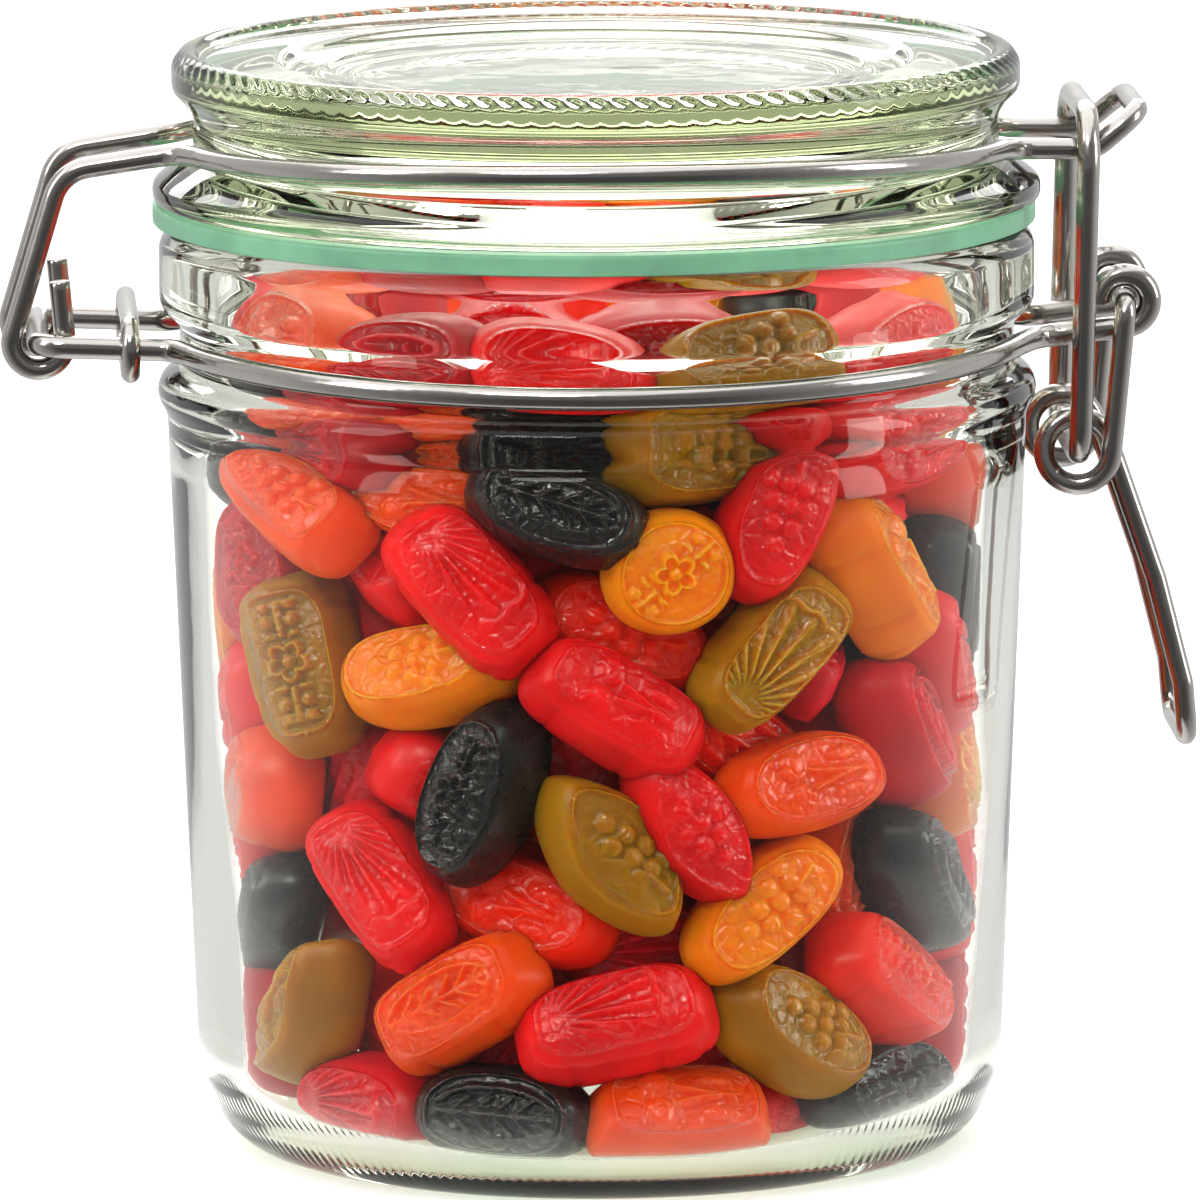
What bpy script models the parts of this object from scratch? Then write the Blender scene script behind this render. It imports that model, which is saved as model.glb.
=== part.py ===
"""Swing-top preserving jar, nominal half litre, shut and filled with wine gums.

Metres, +Z up. The jar stands on z = 0 with its axis on the Z axis. The lid's hinge is on the -X side
and the lever of the clasp is on the +X side. Sizes below are in millimetres and are scaled by MM.
"""
import math

import bmesh
import bpy
import numpy as np
from mathutils import Vector

MM = 0.001
GAP = 0.3                      # space left between neighbouring pieces
TURN_STEPS = 32                # facets round every turned piece

# Jar
BODY_LOW_RADIUS = 43.9         # body just above its heel
BODY_HIGH_RADIUS = 46.6        # body just under the shoulder ring
WALL = 3.5
HEEL_WIDTH = 7.6               # the heel is a quarter ellipse
HEEL_HEIGHT = 12.7
BASE_THICKNESS = 3.4
FOOT_RECESS = 0.9              # the middle of the base stands clear of the table
SHOULDER_RADIUS = 47.6         # ring under the neck wire
SHOULDER_LOW = 80.6
SHOULDER_HIGH = 84.4
NECK_GROOVE_RADIUS = 45.2
COLLAR_RADIUS = 47.4
COLLAR_LOW = 91.2
COLLAR_HIGH = 98.8
MOUTH_RADIUS = 41.5
MOUTH_HEIGHT = 100.5

# Gasket
GASKET_RADIUS = 47.9
GASKET_HOLE_RADIUS = 42.3
GASKET_THICKNESS = 2.2
GASKET_OFFSET = -0.25          # it was squeezed a little towards the hinge

# Lid
FLANGE_RADIUS = 48.1
FLANGE_HEIGHT = 2.4
LID_GROOVE_RADIUS = 43.6
LID_GROOVE_LOW = 108.2
LID_GROOVE_HIGH = 112.6
RIM_RADIUS = 45.9
RIM_LOW = 115.3
LID_TOP = 119.6
RIM_INNER_RADIUS = 43.4
PLATEAU_RADIUS = 34.2
PLATEAU_HEIGHT = 118.5
CENTRE_HEIGHT = 117.3
PLUG_RADIUS = 40.6             # ring on the lid's underside, which enters the mouth
PLUG_DEPTH = 1.9
DOME_RADIUS = 31.0
LID_THICKNESS = 5.0

# Wires
NECK_WIRE = 2.5
LID_WIRE = 2.3
BAIL_WIRE = 2.5
LEVER_WIRE = 2.3
CLIP_WIRE = 2.1
NECK_RING_FRONT_HEIGHT = 87.7
NECK_RING_SIDE_HEIGHT = 88.5
LID_RING_FRONT_HEIGHT = 111.1
LID_RING_SIDE_HEIGHT = 109.4
HINGE_BAR = (-60.6, 89.2)      # x and z of the cross bar that the lid wire hooks round
HINGE_HALF_WIDTH = 12.0        # the neck wire's two runs to that bar
LID_LEG_HALF_WIDTH = 9.3
LID_LEG_TOP = 107.7
HOOK_RADIUS = 2.9
HOOK_PIN = (2.3, 6.7)          # x and z from the hinge bar to the free end of the lid wire
CLIP_X = -50.8
TONGUE_HALF_WIDTH = 9.6
TONGUE_HEIGHT = 109.0
EYE_HALF_WIDTH = 8.3
EYE_RADIUS = 2.8
LEVER_HALF_WIDTH = 11.0
HANDLE_HALF_WIDTH = 8.4
HANDLE_KNEE = (60.1, 62.0)     # x and z of three bends down the lever's handle
HANDLE_ELBOW = (63.0, 50.5)
HANDLE_END = (63.5, 44.5)
HANDLE_HEADING = -69.0         # degrees, the way the handle leaves the coil
COIL_RADIUS = 3.6
BAIL_HALF_WIDTH = 13.7
BAIL_LOW_BEND = 3.0
BAIL_TOP_BEND = 5.5
LEVER_PIVOT = (56.6, 92.3)     # x and z of the lever's axis
BAIL_PIVOT = (51.4, 76.2)      # x and z of the bail's axis in the lever's coils
BAIL_TOP = (52.4, 113.0)       # x and z of the bar over the lid wire's tongue

# Wine gums
GUM_LENGTH = 21.4
GUM_WIDTH = 11.4
GUM_DEPTH = 9.6
GUM_SEAT = 5.1                 # from the glass to the middle of a gum that rests against it
GUM_COUNT = 185
HEAP_TOP = 95.5
HEAP_SEED = 7
HEAP_SPREAD = 36.0             # gums start to settle within this radius
HEAP_ROUNDS = 420
HEAP_PUSH = 0.30               # share of an overlap that one round takes away
HEAP_FALL = 0.06               # fall in the first round, less in each later one
HEAP_HOLD = 0.5                # share by which a gum laid by hand goes back each round
GUM_WALL_GAP = 0.35
GUM_ROLLS = (-5.0, 42.0)       # degrees, how far pressed faces are rolled upwards
CORE_INSET = 8.5
CORE_STEPS = 14
BURIED_DEPTH = 8.6             # a gum deeper behind the glass than this isn't modelled
ROUND_SHARE = 0.68             # a round gum's width, as a share of a long gum's length
HEAP_SOLVER = "MANIFOLD"

parts = bpy.data.collections.new("jar_of_wine_gums")
cutters = bpy.data.collections.new("cutters")


def clear_scene():
    for thing in list(bpy.data.objects):
        bpy.data.objects.remove(thing)
    bpy.context.scene.collection.children.link(parts)
    bpy.context.scene.collection.children.link(cutters)


def finish(name, colour, roughness, metallic=0.0, transmission=0.0):
    """A Principled BSDF material."""
    material = bpy.data.materials.new(name)
    material.use_nodes = True
    shader = material.node_tree.nodes["Principled BSDF"]
    shader.inputs["Base Color"].default_value = (*colour, 1.0)
    shader.inputs["Roughness"].default_value = roughness
    shader.inputs["Metallic"].default_value = metallic
    shader.inputs["Transmission Weight"].default_value = transmission
    return material


def smooth(thing, angle=40.0):
    thing.data.shade_smooth()
    thing.data.set_sharp_from_angle(angle=math.radians(angle))


def arc(centre, radius, start, end, steps):
    """Points (r, z) on an ellipse's arc, angles in degrees from +r towards +z."""
    wide, high = radius
    turns = [math.radians(start + (end - start) * i / steps) for i in range(steps + 1)]
    return [(centre[0] + wide * math.cos(t), centre[1] + high * math.sin(t)) for t in turns]


def turned(name, profile, material, ring=False):
    """Turn a profile of (radius, height), which runs down the outer side, round the Z axis."""
    mesh = bpy.data.meshes.new(name)
    corners = [(r * MM, 0.0, z * MM) for r, z in profile]
    edges = [(i, i + 1) for i in range(len(corners) - 1)]
    if ring:
        edges.append((len(corners) - 1, 0))
    mesh.from_pydata(corners, edges, [])
    thing = bpy.data.objects.new(name, mesh)
    parts.objects.link(thing)
    screw = thing.modifiers.new("turn", "SCREW")
    screw.axis = "Z"
    screw.steps = TURN_STEPS
    screw.render_steps = TURN_STEPS
    screw.use_merge_vertices = True
    screw.merge_threshold = 0.00001
    screw.use_smooth_shade = True
    mesh.materials.append(material)
    return thing


def body_radius(height):
    """Outer radius of the jar's straight, slightly tapered body."""
    share = (height - HEEL_HEIGHT) / (SHOULDER_LOW - HEEL_HEIGHT)
    return BODY_LOW_RADIUS + (BODY_HIGH_RADIUS - BODY_LOW_RADIUS) * share


def inside_radius(height):
    """Radius of the jar's inside: rounded at the base, then the body, then the narrower neck."""
    round_top = BASE_THICKNESS + HEEL_WIDTH
    if height < round_top:
        share = max(0.0, min(1.0, (round_top - height) / HEEL_WIDTH))
        full = body_radius(round_top) - WALL
        return full - HEEL_WIDTH * (1.0 - math.sqrt(1.0 - share * share))
    bend_low = SHOULDER_LOW - 6.0
    if height < bend_low:
        return body_radius(height) - WALL
    share = min(1.0, (height - bend_low) / (SHOULDER_HIGH - bend_low))
    ease = share * share * (3.0 - 2.0 * share)
    return body_radius(bend_low) - WALL + (MOUTH_RADIUS - body_radius(bend_low) + WALL) * ease


def make_jar(glass):
    heel = arc((BODY_LOW_RADIUS - HEEL_WIDTH, HEEL_HEIGHT), (HEEL_WIDTH, HEEL_HEIGHT), 0, -90, 5)
    foot = heel[-1][0]
    outside = [
        (MOUTH_RADIUS + 0.6, MOUTH_HEIGHT),
        (COLLAR_RADIUS - 1.4, MOUTH_HEIGHT),
        (COLLAR_RADIUS, COLLAR_HIGH),
        (COLLAR_RADIUS, COLLAR_LOW + 0.9),
        (COLLAR_RADIUS - 0.9, COLLAR_LOW),
        (NECK_GROOVE_RADIUS, COLLAR_LOW - 1.2),
        (NECK_GROOVE_RADIUS, SHOULDER_HIGH + 1.0),
        (SHOULDER_RADIUS - 0.6, SHOULDER_HIGH),
        (SHOULDER_RADIUS, SHOULDER_HIGH - 1.2),
        (SHOULDER_RADIUS, SHOULDER_LOW + 1.4),
        (BODY_HIGH_RADIUS, SHOULDER_LOW - 0.4),
    ] + heel + [
        (foot - 3.0, 0.0),
        (foot - 6.0, FOOT_RECESS),
        (0.0, FOOT_RECESS),
    ]
    heights = [BASE_THICKNESS + HEEL_WIDTH * s for s in (0.0, 0.07, 0.3, 0.62, 1.0)]
    heights += [SHOULDER_LOW - 6.0, SHOULDER_LOW - 2.0, SHOULDER_HIGH, MOUTH_HEIGHT - 0.6]
    inside = [(0.0, BASE_THICKNESS)] + [(inside_radius(z), z) for z in heights]
    return turned("jar_glass", inside + outside, glass)


def make_lid(glass):
    seat = MOUTH_HEIGHT + GAP + GASKET_THICKNESS + GAP
    profile = [
        (0.0, CENTRE_HEIGHT),
        (PLATEAU_RADIUS - 1.2, CENTRE_HEIGHT),
        (PLATEAU_RADIUS, PLATEAU_HEIGHT),
        (RIM_INNER_RADIUS - 0.6, PLATEAU_HEIGHT + 0.1),
        (RIM_INNER_RADIUS, LID_TOP),
        (RIM_RADIUS - 1.0, LID_TOP),
        (RIM_RADIUS, LID_TOP - 1.3),
        (RIM_RADIUS, RIM_LOW),
        (LID_GROOVE_RADIUS + 1.2, RIM_LOW - 1.0),
        (LID_GROOVE_RADIUS, LID_GROOVE_HIGH),
        (LID_GROOVE_RADIUS, LID_GROOVE_LOW),
        (FLANGE_RADIUS - 0.6, seat + FLANGE_HEIGHT),
        (FLANGE_RADIUS, seat + FLANGE_HEIGHT - 0.6),
        (FLANGE_RADIUS, seat + 0.5),
        (FLANGE_RADIUS - 0.5, seat),
        (PLUG_RADIUS, seat),
        (PLUG_RADIUS - 0.4, seat - PLUG_DEPTH),
        (DOME_RADIUS, seat - PLUG_DEPTH),
        (DOME_RADIUS - 1.5, CENTRE_HEIGHT - LID_THICKNESS - 2.0),
        (DOME_RADIUS - 4.5, CENTRE_HEIGHT - LID_THICKNESS),
        (0.0, CENTRE_HEIGHT - LID_THICKNESS),
    ]
    return turned("lid_glass", profile, glass)


def make_gasket(rubber):
    low = MOUTH_HEIGHT + GAP
    high = low + GASKET_THICKNESS
    profile = [
        (GASKET_HOLE_RADIUS, high),
        (GASKET_RADIUS - 0.2, high),
        (GASKET_RADIUS, high - 0.3),
        (GASKET_RADIUS, low + 0.3),
        (GASKET_RADIUS - 0.2, low),
        (GASKET_HOLE_RADIUS, low),
    ]
    thing = turned("gasket", profile, rubber, ring=True)
    thing.location.x = GASKET_OFFSET * MM
    return thing


def bend(corners, radius, steps=3):
    """Round a route's inner corners with arcs of one radius, each in its corner's own plane."""
    points = [Vector(corners[0])]
    for before, corner, after in zip(corners, corners[1:], corners[2:]):
        before, corner, after = Vector(before), Vector(corner), Vector(after)
        back = (before - corner).normalized()
        ahead = (after - corner).normalized()
        half = back.angle(ahead) / 2.0
        reach = min(radius / math.tan(half), 0.45 * (before - corner).length, 0.45 * (after - corner).length)
        size = reach * math.tan(half)
        centre = corner + (back + ahead).normalized() * (size / math.sin(half))
        start = corner + back * reach - centre
        end = corner + ahead * reach - centre
        for i in range(steps + 1):
            turn = start.slerp(end, i / steps) if start.angle(end) > 1e-4 else start
            points.append(centre + turn.normalized() * size)
    points.append(Vector(corners[-1]))
    return points


def wire(name, points, diameter, material, cyclic=False, resolution=2):
    """A bent wire: a poly curve with a round bevel and closed ends."""
    curve = bpy.data.curves.new(name, "CURVE")
    curve.dimensions = "3D"
    curve.bevel_depth = diameter / 2.0 * MM
    curve.bevel_resolution = resolution
    curve.use_fill_caps = not cyclic
    spline = curve.splines.new("POLY")
    spline.points.add(len(points) - 1)
    for spot, point in zip(spline.points, points):
        spot.co = (point[0] * MM, point[1] * MM, point[2] * MM, 1.0)
    spline.use_cyclic_u = cyclic
    curve.materials.append(material)
    thing = bpy.data.objects.new(name, curve)
    parts.objects.link(thing)
    return thing


def mirrored(front):
    """The whole of a wire from its front half, whose last point is the one nearest the plane y = 0."""
    back = [Vector((p[0], -p[1], p[2])) for p in reversed(front)]
    return list(front) + back


def half_ring(radius, side_height, front_height, left_y, right_y, steps=12):
    """Front half of a ring wire, from its left leaving point to its right one."""
    start = math.pi + math.asin(left_y / radius)
    end = 2.0 * math.pi - math.asin(right_y / radius)
    points = []
    for i in range(steps + 1):
        turn = start + (end - start) * i / steps
        height = side_height + (front_height - side_height) * math.sin(turn) ** 2
        points.append(Vector((radius * math.cos(turn), radius * math.sin(turn), height)))
    return points


def circle_run(centre, radius, start, end, y_start, y_end, steps):
    """Points round a circle in an XZ plane, angles in degrees, drifting along Y."""
    points = []
    for i in range(steps + 1):
        share = i / steps
        turn = math.radians(start + (end - start) * share)
        x = centre[0] + radius * math.cos(turn)
        z = centre[1] + radius * math.sin(turn)
        points.append(Vector((x, y_start + (y_end - y_start) * share, z)))
    return points


def make_neck_wire(steel):
    """One wire: eye, front half round the neck, hinge bar, rear half, eye."""
    ring_radius = NECK_GROOVE_RADIUS + GAP + NECK_WIRE / 2.0
    bar_x, bar_z = HINGE_BAR
    reach = 6.0                                  # extra width over which the ring turns into a run
    ring = half_ring(ring_radius, NECK_RING_SIDE_HEIGHT, NECK_RING_FRONT_HEIGHT,
                     HINGE_HALF_WIDTH + reach * 0.6, EYE_HALF_WIDTH + reach)
    left_leave = (-ring_radius + 0.6, -HINGE_HALF_WIDTH, NECK_RING_SIDE_HEIGHT + 0.1)
    left = bend([
        (bar_x, 0.0, bar_z),
        (bar_x, -HINGE_HALF_WIDTH, bar_z),
        left_leave,
        ring[0],
    ], 2.5)[:-1]
    right_leave = (ring_radius + 0.4, -EYE_HALF_WIDTH, NECK_RING_SIDE_HEIGHT)
    eye_foot = (LEVER_PIVOT[0], -EYE_HALF_WIDTH, LEVER_PIVOT[1] - EYE_RADIUS)
    right = bend([ring[-1], right_leave, eye_foot], 3.5)[1:-1]
    eye = circle_run(LEVER_PIVOT, EYE_RADIUS, -90, 188, -EYE_HALF_WIDTH, -EYE_HALF_WIDTH, 12)
    front = list(reversed(left[1:] + ring + right + eye))
    return wire("neck_wire", mirrored(front), NECK_WIRE, steel)


def make_lid_wire(steel):
    """One wire: pin, hook, leg, front half round the lid, tongue, and the same behind."""
    ring_radius = LID_GROOVE_RADIUS + GAP + LID_WIRE / 2.0
    half = LID_LEG_HALF_WIDTH
    hook = circle_run(HINGE_BAR, HOOK_RADIUS, 0, -195, -half, -half, 8)
    pin_top = (HINGE_BAR[0] + HOOK_PIN[0], -half, HINGE_BAR[1] + HOOK_PIN[1])
    knee_height = LID_RING_SIDE_HEIGHT + 0.1
    ring = half_ring(ring_radius, LID_RING_SIDE_HEIGHT, LID_RING_FRONT_HEIGHT, half + 4.5, TONGUE_HALF_WIDTH + 4.5)
    leg = bend([
        hook[-1],
        (HINGE_BAR[0] + 2.6, -half, LID_LEG_TOP),
        (-ring_radius - 0.6, -half, knee_height),
        ring[0],
    ], 4.5)[1:-1]
    tongue = bend([
        ring[-1],
        (ring_radius - 0.4, -TONGUE_HALF_WIDTH, TONGUE_HEIGHT + 0.1),
        (BAIL_TOP[0] + 0.9, -TONGUE_HALF_WIDTH, TONGUE_HEIGHT),
        (BAIL_TOP[0] + 5.7, -TONGUE_HALF_WIDTH + 0.2, TONGUE_HEIGHT + 4.0),
        (BAIL_TOP[0] + 5.7, 0.0, TONGUE_HEIGHT + 4.0),
    ], 3.2)[1:]
    front = [Vector(pin_top)] + hook + leg + ring + tongue
    return wire("lid_wire", mirrored(front[:-1]), LID_WIRE, steel)


def make_clip(steel):
    """A flattened ring that holds the neck wire's two runs together."""
    high = NECK_WIRE / 2.0 + CLIP_WIRE / 2.0 + GAP
    middle = NECK_RING_SIDE_HEIGHT + 0.25
    points = []
    for side in (1, -1):
        for i in range(7):
            turn = math.radians(90 - 30 * i)
            y = side * (HINGE_HALF_WIDTH + high * math.cos(turn))
            points.append((CLIP_X, y, middle + side * high * math.sin(turn)))
    return wire("wire_clip", points, CLIP_WIRE, steel, cyclic=True)


def make_bail(steel):
    """A closed link: its low bar turns in the lever's coils, its top bar holds the tongue."""
    low, top = BAIL_PIVOT, BAIL_TOP
    y = BAIL_HALF_WIDTH
    middle = (0.5 * (low[0] + top[0]), -y, 0.5 * (low[1] + top[1]))
    below = bend([(low[0], 0.0, low[1]), (low[0], -y, low[1]), middle], BAIL_LOW_BEND)
    above = bend([middle, (top[0], -y, top[1]), (top[0], 0.0, top[1])], BAIL_TOP_BEND, 4)
    front = below[:-1] + above[1:]
    points = front[:-1] + [Vector((p[0], -p[1], p[2])) for p in reversed(front)][:-1]
    return wire("bail", points, BAIL_WIRE, steel, cyclic=True)


def make_lever(steel):
    """One wire: end pin in the eye, leg, one turn of a coil, handle, and the same behind."""
    pivot = Vector((LEVER_PIVOT[0], 0.0, LEVER_PIVOT[1]))
    coil = Vector((BAIL_PIVOT[0], 0.0, BAIL_PIVOT[1]))
    down = (coil - pivot)
    # The leg is tangent to the coil: it starts the turn where the coil's edge faces it.
    tilt = math.degrees(math.atan2(down.z, down.x)) + math.degrees(math.asin(COIL_RADIUS / down.length))
    start = tilt + 90.0
    sweep = -360.0 - (start - 90.0 - HANDLE_HEADING)
    turn = circle_run(BAIL_PIVOT, COIL_RADIUS, start, start + sweep, -LEVER_HALF_WIDTH, -HANDLE_HALF_WIDTH, 14)
    leg = bend([
        (pivot.x, -EYE_HALF_WIDTH + 2.0, pivot.z),
        (pivot.x, -LEVER_HALF_WIDTH, pivot.z),
        turn[0],
    ], 1.6)[:-1]
    handle = bend([
        turn[-1],
        (HANDLE_KNEE[0], -HANDLE_HALF_WIDTH, HANDLE_KNEE[1]),
        (HANDLE_ELBOW[0], -HANDLE_HALF_WIDTH - 0.6, HANDLE_ELBOW[1]),
        (HANDLE_END[0], -HANDLE_HALF_WIDTH - 0.6, HANDLE_END[1]),
        (HANDLE_END[0], 0.0, HANDLE_END[1]),
    ], 5.0)[1:-1]
    return wire("lever", mirrored(leg + turn + handle), LEVER_WIRE, steel)


# Gums against the front of the glass, laid by hand: across, height, tilt, how far behind the glass,
# roll of the pressed face (mm and degrees), then outline. Tilt is positive where the right end is the
# higher one; roll turns the pressed face upwards.
FRONT_GUMS = [
    (-32, 74, -28, 0, 40, "bar"),
    (-18, 76, -10, 6, 10, "oval"),
    (-6, 75, -22, 0, 18, "oval"),
    (-15, 66, -54, 0, 24, "bar"),
    (6, 68, 30, 1, 5, "round"),
    (16, 74, 62, 0, 15, "oval"),
    (27, 66, -52, 1, 35, "bar"),
    (36, 60, -75, 0, 0, "oval"),
    (16, 59, 46, 0, 8, "bar"),
    (-32, 56, -58, 0, 35, "bar"),
    (-19, 56, 15, 3, 30, "oval"),
    (0, 53, -39, 0, 32, "bar"),
    (30, 48, -55, 1, 20, "oval"),
    (36, 43, 80, 0, 10, "oval"),
    (-34, 63, -25, 2, 30, "bar"),
    (-25, 61, -30, 10, 0, "oval"),
    (-36, 49, 60, 1, 0, "oval"),
    (-36, 58, 70, 1, 0, "oval"),
    (-35, 41, 60, 0, 10, "round"),
    (-14, 44, 68, 0, 20, "oval"),
    (0, 38, -50, 0, 25, "lozenge"),
    (19, 44, 10, 0, 18, "oval"),
    (32, 31, -50, 0, 14, "oval"),
    (-24, 33, -47, 0, 28, "bar"),
    (-35, 26, 55, 0, 8, "oval"),
    (15, 31, 42, 0, 14, "oval"),
    (-31, 17, 60, 0, 22, "lozenge"),
    (-16, 21, 33, 0, 14, "bar"),
    (0, 19, 13, 0, 32, "bar"),
    (28, 21, -38, 0, 22, "bar"),
    (18, 17, -35, 1, 25, "oval"),
    (6, 8, -3, 0, 45, "bar"),
    (-12, 9, -4, 0, 12, "oval"),
    (-24, 8, 0, 2, 0, "oval"),
    (28, 8, 18, 0, 20, "oval"),
    (1, 60, -30, 6, 15, "oval"),
    (-9, 30, -20, 6, 15, "oval"),
    (12, 48, -35, 6, 0, "oval"),
    (-24, 41, 60, 9, 0, "oval"),
    (-36, 34, 70, 1, 0, "oval"),
    (-35, 15, 75, 1, 0, "oval"),
    (10, 38, -60, 8, 0, "oval"),
    (24, 34, 60, 7, 0, "oval"),
    (3, 27, 0, 8, 0, "oval"),
    (36, 29, 80, 1, 0, "oval"),
    (35, 15, 70, 1, 0, "oval"),
    (-30, 89, -5, 2, 20, "oval"),
    (-20, 89, 8, 1, 10, "oval"),
    (-6, 89, -8, 0, 10, "oval"),
    (5, 90, 0, 7, 0, "oval"),
    (14, 89, 8, 0, 35, "bar"),
    (27, 89, 10, 1, 10, "oval"),
    (34, 87, 60, 3, 0, "oval"),
    (-26, 82, -15, 4, 0, "oval"),
    (-6, 82, 0, 6, 0, "oval"),
    (8, 81, 0, 4, 10, "oval"),
    (29, 79, 10, 1, 15, "oval"),
    (36, 73, -50, 1, 0, "oval"),
    (-4, 79, -10, 11, 0, "oval"),
    (-16, 83, 0, 6, 0, "oval"),
    (19, 6, 10, 6, 0, "oval"),
    (-4, 45, -60, 9, 0, "oval"),
    (-9, 14, 20, 8, 0, "oval"),
    (-22, 16, -30, 9, 0, "oval"),
    (12, 15, 40, 8, 0, "oval"),
    (-30, 27, 20, 9, 0, "oval"),
    (22, 13, 0, 8, 0, "oval"),
]
OUTLINES = {"oval": 0.84, "bar": 0.60, "lozenge": 1.22, "round": 1.0}   # power of the plan's superellipse
# A gum's section, as shares of the plan's edge and of half its depth: pressed face, flank, back.
SECTION = [(0.0, 1.0), (0.80, 0.94), (1.0, -0.20), (0.86, -0.94), (0.0, -1.0)]


def rest_heap(count=GUM_COUNT, rounds=HEAP_ROUNDS):
    """Let the gums settle inside the jar: each is three balls in a row, pushed apart and inwards.

    Returns centres, long axes and the normals of the pressed faces, one row for each gum.
    """
    draw = np.random.default_rng(HEAP_SEED)
    shown = np.array([place[:5] for place in FRONT_GUMS], dtype=float)
    ball = 0.25 * (GUM_WIDTH + GUM_DEPTH)
    reach = 0.5 * GUM_LENGTH - ball
    turns = draw.uniform(0.0, 2.0 * np.pi, count)
    spread = np.sqrt(draw.uniform(0.0, 1.0, count)) * HEAP_SPREAD
    centre = np.stack([spread * np.cos(turns), spread * np.sin(turns),
                       np.linspace(BASE_THICKNESS + ball, HEAP_TOP - ball, count)], axis=1)
    axis = draw.normal(size=(count, 3))
    roll = draw.uniform(*GUM_ROLLS, count)
    pinned = len(shown)
    across, height, tilt, depth, roll[:pinned] = shown.T
    wall = np.array([inside_radius(z) for z in height]) - GUM_SEAT - depth
    front = np.stack([across, -np.sqrt(np.maximum(wall ** 2 - across ** 2, 9.0)), height], axis=1)
    side = np.arctan2(across, -front[:, 1])
    lean = np.radians(tilt)
    front_axis = np.stack([np.cos(lean) * np.cos(side), np.cos(lean) * np.sin(side), np.sin(lean)], axis=1)
    centre[:pinned] = front
    axis[:pinned] = front_axis
    axis /= np.linalg.norm(axis, axis=1, keepdims=True)
    steps = np.array([-reach, 0.0, reach])
    owner = np.repeat(np.arange(count), 3)
    other = owner[:, None] != owner[None, :]
    table = np.linspace(0.0, HEAP_TOP + 10.0, 120)
    radii = np.array([inside_radius(z) for z in table])
    for turn in range(rounds):
        balls = centre[:, None, :] + axis[:, None, :] * steps[None, :, None]
        spots = balls.reshape(-1, 3)
        apart = spots[:, None, :] - spots[None, :, :]
        gap = np.sqrt((apart ** 2).sum(axis=2)) + 1e-9
        push = np.where(other & (gap < 2.0 * ball), (2.0 * ball - gap) / gap, 0.0)
        spots = spots + HEAP_PUSH * (apart * push[:, :, None]).sum(axis=1)
        spots[:, 2] -= HEAP_FALL * max(0.0, 1.0 - turn / (0.7 * rounds))
        level = spots[:, 2]
        room = np.interp(level, table, radii) - ball - GUM_WALL_GAP
        flat = np.hypot(spots[:, 0], spots[:, 1]) + 1e-9
        pull = np.minimum(1.0, room / flat)
        spots[:, 0] *= pull
        spots[:, 1] *= pull
        spots[:, 2] = np.clip(level, BASE_THICKNESS + ball, HEAP_TOP - ball)
        balls = spots.reshape(count, 3, 3)
        centre = balls.mean(axis=1)
        axis = balls[:, 2] - balls[:, 0]
        axis /= np.linalg.norm(axis, axis=1, keepdims=True)
        centre[:pinned] += HEAP_HOLD * (front - centre[:pinned])
        axis[:pinned] += HEAP_HOLD * (front_axis - axis[:pinned])
        axis /= np.linalg.norm(axis, axis=1, keepdims=True)
    # A gum near the glass lies flat against it, its face rolled upwards; one inside lies any way.
    outward = centre * np.array([1.0, 1.0, 0.0])
    outward += draw.normal(size=(count, 3)) * 5.0 * (np.arange(count) >= pinned)[:, None]
    outward -= axis * (outward * axis).sum(axis=1, keepdims=True)
    outward /= np.linalg.norm(outward, axis=1, keepdims=True)
    sideways = np.cross(outward, axis)
    sideways *= np.where(sideways[:, 2:] > 0.0, 1.0, -1.0)
    roll = np.radians(roll)[:, None]
    return centre, axis, np.cos(roll) * outward + np.sin(roll) * sideways


def gum_mesh(outline, length, width, depth):
    """A gum: a ball of three rings whose plan is a superellipse and whose section is SECTION."""
    mesh = bmesh.new()
    bmesh.ops.create_uvsphere(mesh, u_segments=8, v_segments=len(SECTION) - 1, radius=1.0)
    power = OUTLINES[outline]
    for corner in mesh.verts:
        x, y, z = corner.co
        ring = round(math.acos(max(-1.0, min(1.0, z))) / math.pi * (len(SECTION) - 1))
        plan, rise = SECTION[ring]
        turn = math.atan2(y, x)
        cos, sin = math.cos(turn), math.sin(turn)
        corner.co = (
            0.5 * length * plan * math.copysign(abs(cos) ** power, cos),
            0.5 * width * plan * math.copysign(abs(sin) ** power, sin),
            0.5 * depth * rise,
        )
    return mesh


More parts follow.
